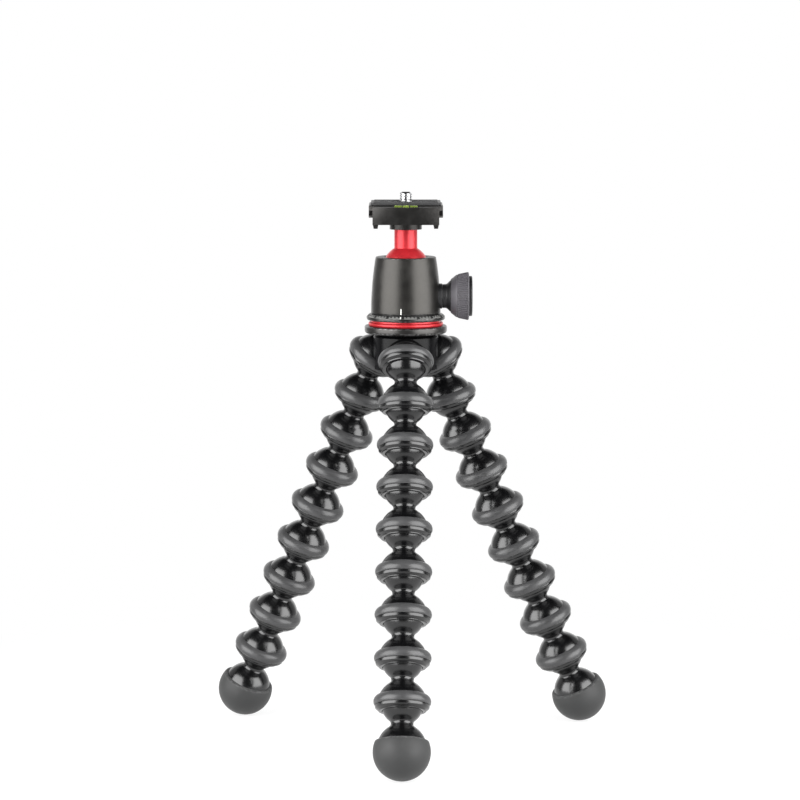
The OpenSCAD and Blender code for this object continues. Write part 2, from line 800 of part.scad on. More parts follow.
module clamp_lever() {
    eye_room = eye_r + move_gap;
    color("#2a2a2c") on_axis() translate([0, pivot_y, lever_z]) difference() {
        union() {
            translate([0, -cam_throw, 0]) cylinder(r = cam_r, h = lever_h);
            translate([0, -cam_throw - lever_t / 2, 0]) cube([lever_reach - lever_t / 2, lever_t, lever_h]);
            translate([lever_reach - lever_t / 2, -cam_throw, 0]) cylinder(d = lever_t, h = lever_h);
        }
        translate([0, 0, -1]) cylinder(d = lever_pin_d + 2 * turn_fit, h = far);
        // Room of the rod's eye, open towards the jaw and to the side that turns past the rod
        translate([0, 0, (lever_h - eye_t) / 2 - move_gap]) {
            cylinder(r = eye_room, h = eye_t + 2 * move_gap);
            translate([-far, -far, 0]) cube([far + eye_room, far, eye_t + 2 * move_gap]);
            translate([-far, -far, 0]) cube([far, far + eye_room, eye_t + 2 * move_gap]);
        }
    }
}

module camera_plate() {
    color("#1f1f21") on_axis() difference() {
        translate([0, 0, plate_z]) across(plate_l) dovetail_outline(0);
        disc(screw_head_d + 2 * move_gap, plate_z - 1, 1 + screw_head_t + screw_sink);
        disc(screw_d + 2 * turn_fit, plate_z - 1, far);
    }
}

module plate_pad() {
    long = plate_l - 2 * pad_margin;
    wide = plate_w - 2 * dovetail_in - 2 * pad_margin;
    color("#3c3c3e") on_axis() difference() {
        translate([-long / 2, -wide / 2, plate_top]) cube([long, wide, pad_t]);
        disc(screw_d + 2 * pad_room, plate_top - 1, far);
    }
}

module camera_screw() {
    head_z = plate_z + screw_sink;
    color("#b4b4b6") on_axis() difference() {
        union() {
            disc(screw_head_d, head_z, screw_head_t);
            disc(screw_neck_d, head_z, pad_top - head_z + eps);
            disc(screw_d, pad_top, screw_out);
        }
        translate([-far / 2, -screw_slot / 2, head_z - 1]) cube([far, screw_slot, 1 + screw_head_t / 2]);
    }
}

for (leg = [0 : 2], i = [1 : LINKS])
    link(leg, i);
for (leg = [0 : 2]) foot(leg);
for (leg = [0 : 2]) foot_cap(leg);
hub_body();
hub_rings();
hub_stud();
platform();
accent_ring();
pan_base();
pan_washer();
housing();
housing_floor();
pan_clip();
ball_seat();
brake_wedge();
lock_screw();
knob_core();
knob_grip();
knob_cap();
ball_stem();
clamp_base();
stem_screw();
guide_pins();
level_vial();
pull_rod();
lever_pin();
clamp_jaw();
clamp_lever();
camera_plate();
plate_pad();
camera_screw();
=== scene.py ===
"""Dresses the frame of a flexible leg tripod: links, feet, hub, ball head, clamp and camera plate."""

import json
import math
from types import SimpleNamespace

import bmesh
import bpy
from bpy.props import FloatProperty, FloatVectorProperty, IntProperty, PointerProperty
from mathutils import Matrix, Vector


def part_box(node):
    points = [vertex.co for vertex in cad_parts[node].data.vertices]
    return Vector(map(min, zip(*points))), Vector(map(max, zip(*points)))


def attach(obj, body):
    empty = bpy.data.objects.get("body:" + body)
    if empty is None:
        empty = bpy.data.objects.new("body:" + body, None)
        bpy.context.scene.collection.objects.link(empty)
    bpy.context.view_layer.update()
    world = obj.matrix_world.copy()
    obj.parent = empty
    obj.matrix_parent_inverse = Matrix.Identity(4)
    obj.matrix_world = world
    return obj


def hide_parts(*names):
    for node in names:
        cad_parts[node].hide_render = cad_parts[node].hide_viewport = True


bl_info = {
    "name": "Flexible leg tripod",
    "version": (1, 0, 0),
    "blender": (4, 5, 0),
    "location": "3D View > Sidebar > Tripod",
    "description": "Builds the looks of a flexible leg tripod with a ball head around its frame",
    "category": "Add Mesh",
}

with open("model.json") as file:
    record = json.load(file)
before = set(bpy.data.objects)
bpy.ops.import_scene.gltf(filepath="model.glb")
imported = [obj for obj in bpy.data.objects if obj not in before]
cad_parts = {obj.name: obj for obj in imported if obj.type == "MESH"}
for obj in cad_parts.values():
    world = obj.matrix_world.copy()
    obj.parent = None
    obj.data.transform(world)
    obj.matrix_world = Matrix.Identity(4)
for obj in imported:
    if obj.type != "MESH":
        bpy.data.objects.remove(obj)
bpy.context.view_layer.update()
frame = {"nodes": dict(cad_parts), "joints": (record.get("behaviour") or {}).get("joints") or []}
NODES = frame["nodes"]
JOINTS = {joint["name"]: joint for joint in frame["joints"]}
LEGS = ("front", "left", "right")
LINKS = 8
MM = 0.001
FULL_TURN = math.tau
# Points of a turned outline: radius, height, and how much of an edge it is
SMOOTH = 0.0
EDGE = 1.0
FILLET_STEPS = 4
FINE_ARC = 30
SHORT_ARC = 12
# Edges that bend more than this are drawn sharp
SHARP_ANGLE = math.radians(38)
WELD = 2e-6
SEGMENTS = 96
FINE_SEGMENTS = 160


def joint_at(name):
    """Place of a joint at rest."""
    return Vector(JOINTS[name]["pos_m"])


def across(node):
    """Width of a node's box along X."""
    low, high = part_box(node)
    return high.x - low.x


def low_z(node):
    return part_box(node)[0].z


def high_z(node):
    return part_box(node)[1].z


HEAD_AXIS = Vector((joint_at("pan").x, joint_at("pan").y, 0.0))
LINK_PITCH = (joint_at("front_joint_3") - joint_at("front_joint_2")).length


# Sizes and colours

def length(default, label, detail):
    """A length in metres that a user may change."""
    return FloatProperty(name=label, description=detail, default=default, min=0.0, unit="LENGTH", precision=5)


def tint(default, label, detail):
    """A colour that a user may change."""
    return FloatVectorProperty(
        name=label, description=detail, default=default, size=3, min=0.0, max=1.0, subtype="COLOR")


class LegSizes(bpy.types.PropertyGroup):
    """Sizes of the links, rings, feet and hub."""

    ball_d: length(21.2 * MM, "Ball", "Diameter of the ball on each link")
    ball_gap: length(0.3 * MM, "Ball gap", "Gap between a ball and its socket")
    socket_wall: length(1.5 * MM, "Socket wall", "Wall of a socket shell")
    waist_r: length(2.0 * MM, "Waist", "Radius of the hollow round a link's waist")
    mouth_drop: length(3.8 * MM, "Mouth", "Distance of the socket's mouth below the ball's centre")
    ring_d: length(28.8 * MM, "Ring", "Diameter of a rubber ring")
    ring_bulge: length(3.6 * MM, "Ring bulge", "Radius of a ring's round edge")
    ring_rise: length(1.1 * MM, "Ring height", "Height of a ring's widest circle above the ball's centre")
    ledge: length(0.7 * MM, "Ring ledge", "Distance of the ledge that carries a ring below the ball's centre")
    band: length(1.5 * MM, "Glossy band", "Height of the glossy band below a ring")
    taper: length(0.3 * MM, "Band taper", "Taper of the glossy band")
    flare_drop: length(3.2 * MM, "Flare foot", "Distance of the socket's flare below the ball's centre")
    flare_reach: length(0.3 * MM, "Flare reach", "Reach of the flare's foot beyond the socket's shell")
    foot_d: length(28.9 * MM, "Foot", "Diameter of a rubber foot")
    cap_drop: length(2.0 * MM, "Foot centre", "Distance of a rubber foot's centre below its dome's centre")
    cap_rise: length(5.6 * MM, "Foot rim", "Height of a rubber foot's rim above its centre")
    socket_lean: FloatProperty(
        name="Hub lean", description="Lean of the hub's sockets", default=math.radians(36), subtype="ANGLE")
    hub_d: length(33.6 * MM, "Hub", "Diameter of the hub's middle column")


class HeadSizes(bpy.types.PropertyGroup):
    """Sizes of the head that the frame's boxes don't give."""

    edge: length(0.9 * MM, "Edges", "Radius of the turned plates' edges")
    accent_bore: length(27.0 * MM, "Coloured ring bore", "Bore of the coloured ring")
    bevel: length(1.4 * MM, "Scale slope", "Width of the sloping scale on the pan base")
    spindle_d: length(18.0 * MM, "Spindle", "Diameter of the pan base's spindle")
    ticks: IntProperty(name="Scale marks", description="Marks round the pan base", default=60, min=12)
    housing_top_d: length(31.2 * MM, "Housing rim", "Diameter of the housing at its rim")
    head_ball_d: length(24.0 * MM, "Head ball", "Diameter of the head's ball")
    ball_room: length(0.3 * MM, "Ball room", "Gap round the head's ball")
    bore_room: length(0.6 * MM, "Bore room", "Gap between the head's ball and the housing's bore")
    rim_bevel: length(0.8 * MM, "Rim slope", "Height of the slope round the rim's opening")
    stem_d: length(11.9 * MM, "Stem", "Diameter of the ball's stem")
    notch_gap: length(0.5 * MM, "Notch room", "Side room of the stem in the notch")
    boss_d: length(13.0 * MM, "Lock boss", "Diameter of the bush at the lock screw")
    boss_out: length(19.05 * MM, "Lock boss reach", "Reach of that bush from the head's axis")
    neck_d: length(12.4 * MM, "Knob neck", "Diameter of the knob's neck")
    screw_d: length(6.0 * MM, "Lock screw", "Diameter of the lock screw")
    ribs: IntProperty(name="Knob ribs", description="Ribs round the knob's grip", default=64, min=12)
    pad_ridges: IntProperty(name="Pad ridges", description="Ridges across the camera pad", default=13, min=3)
    camera_screw_d: length(6.35 * MM, "Camera screw", "Diameter of the camera screw")


class Finishes(bpy.types.PropertyGroup):
    """Colours of the tripod's finishes."""

    link_plastic: tint((0.0022, 0.0022, 0.0025), "Links", "Glossy black moulded plastic")
    hub_plastic: tint((0.0030, 0.0030, 0.0034), "Hub", "Satin black moulded plastic")
    ring_rubber: tint((0.046, 0.046, 0.047), "Rings", "Satin dark-grey rubber")
    foot_rubber: tint((0.024, 0.0245, 0.0245), "Feet", "Matte dark-grey rubber")
    plate_metal: tint((0.046, 0.0445, 0.043), "Plates", "Satin dark-grey anodised metal")
    housing_metal: tint((0.042, 0.0405, 0.038), "Housing", "Satin warm dark-grey anodised metal")
    red_metal: tint((0.46, 0.018, 0.025), "Red metal", "Satin red anodised metal")
    knob_plastic: tint((0.008, 0.008, 0.009), "Knob", "Fine matte black plastic")
    grip_rubber: tint((0.062, 0.058, 0.066), "Grip", "Finely ribbed grey rubber")
    pad_rubber: tint((0.018, 0.018, 0.019), "Pad", "Matte black rubber")
    steel: tint((0.56, 0.56, 0.57), "Steel", "Turned steel")
    acetal: tint((0.72, 0.69, 0.62), "Acetal", "Ivory sliding plastic")
    wedge_brass: tint((0.60, 0.42, 0.16), "Brass", "Machined brass")
    vial_glass: tint((0.40, 0.55, 0.10), "Level", "Yellow-green level liquid")
    mark: tint((0.60, 0.60, 0.58), "Marks", "White paint of the marks")
    # The scale band's lighter grey is painted light: a matte grey that stands in for the light the metal
    # slope catches under the marks
    scale_painted_light: tint((0.13, 0.13, 0.125), "Scale band", "Grey paint under the scale's marks")
    scale_black: tint((0.010, 0.010, 0.010), "Scale", "Black of the scale's marks and the washer")


# Node trees

def socket(sockets, key):
    """A socket by its place or by its name."""
    if isinstance(key, int):
        return sockets[key]
    for found in sockets:
        if found.name == key and found.enabled:
            return found
    raise RuntimeError(f"no socket named {key}")


def add(tree, kind, settings=None, inputs=None):
    """A node with its settings, and its inputs set or linked."""
    node = tree.nodes.new(kind)
    for name, value in (settings or {}).items():
        setattr(node, name, value)
    for key, value in (inputs or {}).items():
        target = socket(node.inputs, key)
        if isinstance(value, bpy.types.NodeSocket):
            tree.links.new(value, target)
        else:
            target.default_value = value
    return node


def out(node, key=0):
    return socket(node.outputs, key)


def calc(tree, operation, *values):
    """The result of a Math node."""
    node = add(tree, "ShaderNodeMath", {"operation": operation}, dict(enumerate(values)))
    return out(node)


def begin(name, kind, inputs, outputs):
    """A new tree with named inputs and outputs."""
    tree = bpy.data.node_groups.new(name, kind)
    for label, socket_kind in inputs:
        tree.interface.new_socket(label, in_out="INPUT", socket_type=socket_kind)
    for label, socket_kind in outputs:
        tree.interface.new_socket(label, in_out="OUTPUT", socket_type=socket_kind)
    return tree, add(tree, "NodeGroupInput"), add(tree, "NodeGroupOutput")


def once(name):
    """Has a node tree made the first time it is asked for, and found again after that."""
    def wrap(make):
        def tree():
            return bpy.data.node_groups.get(name) or make(name)
        return tree
    return wrap


def emptied(owner):
    """The node tree of a material or a world, without its first nodes."""
    owner.use_nodes = True
    owner.node_tree.nodes.clear()
    return owner.node_tree


def grey(level):
    """A grey as a node takes it."""
    return level, level, level, 1.0


# Places of the sockets on a Mix node
COLOUR_A = 6
COLOUR_B = 7
COLOUR_OUT = 2
LEVEL_A = 2
LEVEL_B = 3
MESH_OUT = [("Geometry", "NodeSocketGeometry")]


def close_tree(tree, geometry, given, result):
    """Ends a geometry tree in plain, painted geometry."""
    plain = add(tree, "GeometryNodeRealizeInstances", None, {"Geometry": geometry})
    painted = add(tree, "GeometryNodeSetMaterial", None, {
        "Geometry": out(plain), "Material": out(given, "Material")})
    tree.links.new(out(painted), socket(result.inputs, "Geometry"))
    return tree


@once("Turned piece")
def turned_tree(name):
    """Turns an outline about Z, with a map round and along it."""
    tree, given, result = begin(name, "GeometryNodeTree", [
        ("Outline", "NodeSocketGeometry"), ("Segments", "NodeSocketInt"), ("Points", "NodeSocketInt"),
        ("Sharp Angle", "NodeSocketFloat"), ("Weld", "NodeSocketFloat"), ("Material", "NodeSocketMaterial"),
    ], MESH_OUT)
    outline = out(given, "Outline")
    segments = out(given, "Segments")
    points = out(given, "Points")
    grid = add(tree, "GeometryNodeMeshGrid", None, {
        "Vertices X": calc(tree, "ADD", segments, 1), "Vertices Y": points})
    index = out(add(tree, "GeometryNodeInputIndex"))
    half = 0.5
    column = calc(tree, "FLOOR", calc(tree, "DIVIDE", calc(tree, "ADD", index, half), points))
    row = calc(tree, "SUBTRACT", index, calc(tree, "MULTIPLY", column, points))
    row = calc(tree, "ROUND", row)
    spot = add(tree, "GeometryNodeSampleIndex", {"data_type": "FLOAT_VECTOR", "domain": "POINT"}, {
        "Geometry": outline, "Value": out(add(tree, "GeometryNodeInputPosition")), "Index": row})
    named = add(tree, "GeometryNodeInputNamedAttribute", {"data_type": "FLOAT"}, {"Name": "edge"})
    worn = add(tree, "GeometryNodeSampleIndex", {"data_type": "FLOAT", "domain": "POINT"}, {
        "Geometry": outline, "Value": out(named, "Attribute"), "Index": row})
    parts = add(tree, "ShaderNodeSeparateXYZ", None, {0: out(spot, "Value")})
    share = calc(tree, "DIVIDE", column, segments)
    angle = calc(tree, "MULTIPLY", share, FULL_TURN)
    radius = out(parts, "X")
    place = add(tree, "ShaderNodeCombineXYZ", None, {
        "X": calc(tree, "MULTIPLY", radius, calc(tree, "COSINE", angle)),
        "Y": calc(tree, "MULTIPLY", radius, calc(tree, "SINE", angle)),
        "Z": out(parts, "Z")})
    shaped = add(tree, "GeometryNodeSetPosition", None, {
        "Geometry": out(grid, "Mesh"), "Position": out(place)})
    flat = add(tree, "ShaderNodeCombineXYZ", None, {"X": share, "Y": calc(tree, "DIVIDE", row, points)})
    mapped = add(tree, "GeometryNodeStoreNamedAttribute", {"data_type": "FLOAT2", "domain": "CORNER"}, {
        "Geometry": out(shaped), "Name": "UVMap", "Value": out(flat)})
    marked = add(tree, "GeometryNodeStoreNamedAttribute", {"data_type": "FLOAT", "domain": "POINT"}, {
        "Geometry": out(mapped), "Name": "edge", "Value": out(worn, "Value")})
    welded = add(tree, "GeometryNodeMergeByDistance", None, {
        "Geometry": out(marked), "Distance": out(given, "Weld")})
    smooth = add(tree, "GeometryNodeSetShadeSmooth", {"domain": "FACE"}, {"Geometry": out(welded)})
    bend = add(tree, "GeometryNodeInputMeshEdgeAngle")
    sharp = calc(tree, "GREATER_THAN", out(bend, "Unsigned Angle"), out(given, "Sharp Angle"))
    creased = add(tree, "GeometryNodeSetShadeSmooth", {"domain": "EDGE"}, {
        "Geometry": out(smooth), "Selection": sharp, "Shade Smooth": False})
    return close_tree(tree, out(creased), given, result)


@once("Row round an axis")
def ring_row_tree(name):
    """Sets a small shape round the Z axis, evenly."""
    tree, given, result = begin(name, "GeometryNodeTree", [
        ("Shape", "NodeSocketGeometry"), ("Count", "NodeSocketInt"), ("Material", "NodeSocketMaterial"),
    ], MESH_OUT)
    count = out(given, "Count")
    spots = add(tree, "GeometryNodeMeshLine", None, {"Count": count, "Offset": (0.0, 0.0, 0.0)})
    step = calc(tree, "DIVIDE", FULL_TURN, count)
    turn = calc(tree, "MULTIPLY", out(add(tree, "GeometryNodeInputIndex")), step)
    euler = add(tree, "ShaderNodeCombineXYZ", None, {"Z": turn})
    rotation = add(tree, "FunctionNodeEulerToRotation", None, {"Euler": out(euler)})
    row = add(tree, "GeometryNodeInstanceOnPoints", None, {
        "Points": out(spots), "Instance": out(given, "Shape"), "Rotation": out(rotation)})
    return close_tree(tree, out(row), given, result)


@once("Straight row")
def straight_row_tree(name):
    """Sets a small shape in a straight row."""
    tree, given, result = begin(name, "GeometryNodeTree", [
        ("Shape", "NodeSocketGeometry"), ("Count", "NodeSocketInt"), ("Start", "NodeSocketVector"),
        ("Step", "NodeSocketVector"), ("Material", "NodeSocketMaterial")], MESH_OUT)
    spots = add(tree, "GeometryNodeMeshLine", None, {
        "Count": out(given, "Count"), "Start Location": out(given, "Start"), "Offset": out(given, "Step")})
    row = add(tree, "GeometryNodeInstanceOnPoints", None, {
        "Points": out(spots), "Instance": out(given, "Shape")})
    return close_tree(tree, out(row), given, result)


@once("Screw thread")
def thread_tree(name):
    """Winds a ridge up a screw."""
    tree, given, result = begin(name, "GeometryNodeTree", [
        ("Shape", "NodeSocketGeometry"), ("Turns", "NodeSocketFloat"), ("Radius", "NodeSocketFloat"),
        ("Height", "NodeSocketFloat"), ("Ridge", "NodeSocketFloat"), ("Material", "NodeSocketMaterial"),
    ], MESH_OUT)
    points_per_turn = 40
    ridge_sides = 6
    radius = out(given, "Radius")
    line = add(tree, "GeometryNodeCurveSpiral", None, {
        "Resolution": points_per_turn, "Rotations": out(given, "Turns"), "Start Radius": radius,
        "End Radius": radius, "Height": out(given, "Height")})
    profile = add(tree, "GeometryNodeCurvePrimitiveCircle", None, {
        "Resolution": ridge_sides, "Radius": out(given, "Ridge")})
    ridge = add(tree, "GeometryNodeCurveToMesh", None, {
        "Curve": out(line), "Profile Curve": out(profile), "Fill Caps": True})
    smooth = add(tree, "GeometryNodeSetShadeSmooth", {"domain": "FACE"}, {"Geometry": out(ridge)})
    return close_tree(tree, out(smooth), given, result)


# Meshes

def linked(name, data):
    """An object of some data, in the scene."""
    obj = bpy.data.objects.new(name, data)
    bpy.context.scene.collection.objects.link(obj)
    return obj


def temporary(mesh):
    """An object that holds a mesh only while it is shaped."""
    return linked("temporary", mesh)


def evaluated(holder):
    """The plain mesh of an object with its modifiers, without the object."""
    depsgraph = bpy.context.evaluated_depsgraph_get()
    mesh = bpy.data.meshes.new_from_object(
        holder.evaluated_get(depsgraph), preserve_all_data_layers=True, depsgraph=depsgraph)
    bpy.data.objects.remove(holder)
    return mesh


def grown(tree, mesh, values):
    """The plain mesh that a geometry tree makes of a mesh."""
    holder = temporary(mesh)
    modifier = holder.modifiers.new("Grow", "NODES")
    modifier.node_group = tree
    names = {item.name: item.identifier for item in tree.interface.items_tree if item.in_out == "INPUT"}
    for name, value in values.items():
        modifier[names[name]] = value
    return evaluated(holder)


def chain(outline):
    """An outline as a line of edges, with its edge marks."""
    mesh = bpy.data.meshes.new("outline")
    mesh.from_pydata([(r, 0.0, z) for r, z, _ in outline], [(i, i + 1) for i in range(len(outline) - 1)], [])
    marks = mesh.attributes.new("edge", "FLOAT", "POINT")
    marks.data.foreach_set("value", [mark for _, _, mark in outline])
    return mesh


def turned(outline, material, segments=SEGMENTS):
    """The mesh of an outline turned about Z."""
    return grown(turned_tree(), chain(outline), {
        "Segments": segments, "Points": len(outline), "Sharp Angle": SHARP_ANGLE, "Weld": WELD,
        "Material": material})


def placed(mesh, place):
    """A copy of a mesh, moved."""
    copy = mesh.copy()
    copy.transform(place)
    return copy


def joined(meshes):
    """One mesh of several that share a material."""
    first, *others = [temporary(mesh) for mesh in meshes]
    if others:
        with bpy.context.temp_override(
                active_object=first, object=first, selected_objects=[first, *others],
                selected_editable_objects=[first, *others]):
            bpy.ops.object.join()
    mesh = first.data
    bpy.data.objects.remove(first)
    return mesh


def merged(mesh):
    """A mesh with its loose triangles joined and its flat faces made whole."""
    flat_angle = math.radians(0.6)
    work = bmesh.new()
    work.from_mesh(mesh)
    bmesh.ops.remove_doubles(work, verts=work.verts, dist=WELD)
    bmesh.ops.dissolve_limit(work, angle_limit=flat_angle, verts=work.verts, edges=work.edges)
    work.to_mesh(mesh)
    work.free()
    return mesh


def faced_out(mesh):
    """A mesh with its doubles joined and its normals outwards."""
    work = bmesh.new()
    work.from_mesh(mesh)
    bmesh.ops.remove_doubles(work, verts=work.verts, dist=WELD)
    bmesh.ops.triangulate(work, faces=work.faces)
    bmesh.ops.recalc_face_normals(work, faces=work.faces)
    work.to_mesh(mesh)
    work.free()
    return mesh


def shaded(mesh, material, angle=SHARP_ANGLE):
    """A mesh drawn smooth except at its sharp edges, in one material."""
    mesh.materials.clear()
    mesh.materials.append(material)
    mesh.shade_smooth()
    mesh.set_sharp_from_angle(angle=angle)
    return mesh


def carved(mesh, cutters):
    """A mesh after solid cuts."""
    holder = temporary(mesh)
    tools = [temporary(cutter) for cutter in cutters]
    for tool in tools:
        modifier = holder.modifiers.new("Cut", "BOOLEAN")
        modifier.operation = "DIFFERENCE"
        modifier.solver = "EXACT"
        modifier.object = tool
    result = evaluated(holder)
    for tool in tools:
        bpy.data.objects.remove(tool)
    return result


def softened(mesh, width, material, segments=2):
    """A mesh with its sharp edges rounded."""
    holder = temporary(mesh)
    modifier = holder.modifiers.new("Soften", "BEVEL")
    modifier.limit_method = "ANGLE"
    modifier.angle_limit = SHARP_ANGLE
    modifier.width = width
    modifier.segments = segments
    modifier.use_clamp_overlap = True
    return shaded(evaluated(holder), material)


def cad_copy(node):
    """A merged copy of a CAD node's mesh."""
    return merged(NODES[node].data.copy())


def loft(loops):
    """A solid whose skin runs from loop to loop, closed at both ends."""
    work = bmesh.new()
    rows = [[work.verts.new(point) for point in loop] for loop in loops]
    count = len(rows[0])
    for first, second in zip(rows, rows[1:]):
        for i in range(count):
            j = (i + 1) % count
            work.faces.new((first[i], first[j], second[j], second[i]))
    work.faces.new(rows[0])
    work.faces.new(rows[-1])
    bmesh.ops.recalc_face_normals(work, faces=work.faces)
    mesh = bpy.data.meshes.new("loft")
    work.to_mesh(mesh)
    work.free()
    return mesh


def prism(profile, start, end, place=Matrix()):
    """A solid of an outline drawn in X and Z, run along Y."""
    mesh = loft([[(x, y, z) for x, z in profile] for y in (start, end)])
    mesh.transform(place)
    return mesh


def piece(name, mesh, body, nodes=()):
    """A finished piece that rides on a body and stands for its nodes."""
    mesh.name = name
    obj = linked(name, mesh)
    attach(obj, body)
    if nodes:
        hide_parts(*nodes)
    return obj


def turned_piece(name, outline, look, place, body, nodes=(), segments=SEGMENTS):
    """A piece turned about Z and set in its place, in the material of its finish."""
    mesh = placed(turned(outline, finish(look), segments), place)
    return piece(name, mesh, body, nodes)


# Outlines

def arc(centre, radius, start, end, steps=FINE_ARC, mark=SMOOTH):
    """Points along an arc, from one angle to another."""
    turns = [start + (end - start) * i / steps for i in range(steps + 1)]
    return [(centre[0] + radius * math.cos(a), centre[1] + radius * math.sin(a), mark) for a in turns]


def rounded(corners, closed=False):
    """Points of an outline whose corners, given as radius, height and rounding, are filleted."""
    points = []
    count = len(corners)
    for i, (r, z, rounding) in enumerate(corners):
        here = Vector((r, z))
        at_end = not closed and i in (0, count - 1)
        if at_end or rounding == 0:
            points.append((r, z, SMOOTH))
            continue
        before = (Vector(corners[i - 1][:2]) - here).normalized()
        after = (Vector(corners[(i + 1) % count][:2]) - here).normalized()
        half = before.angle(after) / 2
        centre = here + (before + after).normalized() * rounding / math.sin(half)
        first = here + before * rounding / math.tan(half) - centre
        last = here + after * rounding / math.tan(half) - centre
        start = math.atan2(first.y, first.x)
        sweep = (math.atan2(last.y, last.x) - start + math.pi) % FULL_TURN - math.pi
        for k in range(FILLET_STEPS + 1):
            a = start + sweep * k / FILLET_STEPS
            mark = SMOOTH if k in (0, FILLET_STEPS) else EDGE
            points.append((centre.x + rounding * math.cos(a), centre.y + rounding * math.sin(a), mark))
    return points + points[:1] if closed else points


def unmarked(corners):
    """Points of an outline without edge marks."""
    return [(r, z, SMOOTH) for r, z in corners]


def moved(outline, up):
    return [(r, z + up, mark) for r, z, mark in outline]


def side(hypotenuse, leg):
    """The other leg of a right triangle."""
    return math.sqrt(hypotenuse ** 2 - leg ** 2)


class Link:
    """Radii and outlines of a ball-and-socket link, its ball at the origin and its socket below."""

    def __init__(self, sizes):
        self.sizes = sizes
        self.ball_r = sizes.ball_d / 2
        self.socket_r = self.ball_r + sizes.ball_gap
        self.dome_r = self.socket_r + sizes.socket_wall
        self.ring_r = sizes.ring_d / 2
        waist = sizes.waist_r
        near = self.ball_r + waist
        self.waist_z = (LINK_PITCH ** 2 + near ** 2 - (self.dome_r + waist) ** 2) / (2 * LINK_PITCH)
        self.waist_x = side(near, self.waist_z)
        self.dome_turn = math.atan2(LINK_PITCH - self.waist_z, self.waist_x)
        self.ball_turn = math.atan2(-self.waist_z, self.waist_x)

    def neck_and_ball(self):
        """From the dome's shoulder through the waist to the top of the ball."""
        waist = arc((self.waist_x, -self.waist_z), self.sizes.waist_r,
                    math.pi + self.dome_turn, math.pi + self.ball_turn, SHORT_ARC)
        return waist + arc((0.0, 0.0), self.ball_r, self.ball_turn, math.pi / 2)[1:]

    def flare(self):
        """Lip, lower slope and glossy band of a socket, up to the ring's ledge."""
        s = self.sizes
        lip_round = 0.2 * MM
        slope_round = 0.5 * MM
        step = 0.15 * MM
        low = -s.ledge - s.band
        ledge_r = self.ring_r - s.ring_bulge + side(s.ring_bulge, s.ring_rise + s.ledge) - step
        lip_r = side(self.dome_r, s.flare_drop)
        return rounded([
            (side(self.socket_r, s.mouth_drop), -s.mouth_drop, 0),
            (side(self.dome_r, s.mouth_drop), -s.mouth_drop, lip_round),
            (lip_r, -s.flare_drop, lip_round / 3),
            (lip_r + s.flare_reach, -s.flare_drop, lip_round / 3),
            (ledge_r - s.taper, low, slope_round),
            (ledge_r, -s.ledge, lip_round),
            (side(self.dome_r, s.ledge), -s.ledge, 0)])

    def cup(self, end=math.pi / 2):
        """A socket centred on the origin, its dome run up to a given angle."""
        s = self.sizes
        mouth_turn = -math.asin(s.mouth_drop / self.socket_r)
        inside = arc((0.0, 0.0), self.socket_r, math.pi / 2, mouth_turn)
        dome = arc((0.0, 0.0), self.dome_r, -math.asin(s.ledge / self.dome_r), end)
        return inside[:-1] + self.flare()[:-1] + dome

    def shell(self):
        """The moulding of a link."""
        return moved(self.cup(self.dome_turn)[:-1], -LINK_PITCH) + self.neck_and_ball()

    def foot(self):
        """The moulding of a foot: a closed dome below its ball."""
        dome = arc((0.0, 0.0), self.dome_r, -math.pi / 2, self.dome_turn)
        return moved(dome[:-1], -LINK_PITCH) + self.neck_and_ball()

    def ring(self):
        """Rubber ring above the ledge of a socket centred on the origin."""
        s = self.sizes
        lift = 0.04 * MM
        under_round = 0.3 * MM
        inside_r = self.dome_r + lift
        centre = Vector((self.ring_r - s.ring_bulge, s.ring_rise))
        low = lift - s.ledge
        start = math.asin((low + under_round - s.ring_rise) / s.ring_bulge)
        excess = inside_r ** 2 - centre.length_squared - s.ring_bulge ** 2
        reach = excess / (2 * centre.length * s.ring_bulge)
        end = math.atan2(centre.y, centre.x) + math.acos(reach)
        bulge = arc(centre, s.ring_bulge, start, end)
        top = bulge[-1]
        inside = arc((0.0, 0.0), inside_r, math.atan2(top[1], top[0]), math.asin(low / inside_r), SHORT_ARC)
        under = [(inside[-1][0], low, SMOOTH), (bulge[0][0] - under_round, low, EDGE)]
        return under + bulge + inside[1:]

    def cap(self):
        """Rubber cap of a foot."""
        s = self.sizes
        lift = 0.04 * MM
        rim_round = 1.1 * MM
        rim_steps = 8
        foot_r = s.foot_d / 2
        inside_r = self.dome_r + lift
        rim_z = s.cap_rise
        # The rim's rounding lies inside the foot's sphere and under its flat ledge
        centre_z = rim_z - rim_round
        centre_r = side(foot_r - rim_round, centre_z)
        turn = math.atan2(centre_z, centre_r)
        outer = arc((0.0, 0.0), foot_r, -math.pi / 2, turn, 2 * FINE_ARC)
        rim = arc((centre_r, centre_z), rim_round, turn, math.pi / 2, rim_steps, EDGE)
        ledge_r = side(inside_r, rim_z - s.cap_drop)
        inside = arc((0.0, s.cap_drop), inside_r, math.asin((rim_z - s.cap_drop) / inside_r), -math.pi / 2)
        ledge = [(ledge_r, rim_z, SMOOTH)]
        return moved(outer[:-1] + rim + ledge + inside[1:], -LINK_PITCH - s.cap_drop)


def link_place(leg, number):
    """Where a link stands: its ball at its joint, its socket towards the next one."""
    here = joint_at(f"{leg}_joint_{number}")
    if number <= LINKS:
        along = joint_at(f"{leg}_joint_{number + 1}") - here
    else:
        along = here - joint_at(f"{leg}_joint_{number - 1}")
    return Matrix.Translation(here) @ along.to_track_quat("-Z", "Y").to_matrix().to_4x4()


def hub_place(leg, lean):
    """Where a hub socket stands."""
    here = joint_at(f"{leg}_joint_1")
    outward = here - HEAD_AXIS
    outward.z = 0.0
    outward.normalize()
    along = outward * math.sin(lean) - Vector((0.0, 0.0, math.cos(lean)))
    return Matrix.Translation(here) @ along.to_track_quat("-Z", "Y").to_matrix().to_4x4()


ON_AXIS = Matrix.Translation(HEAD_AXIS)
TO_X = Matrix.Rotation(math.pi / 2, 4, "Y")
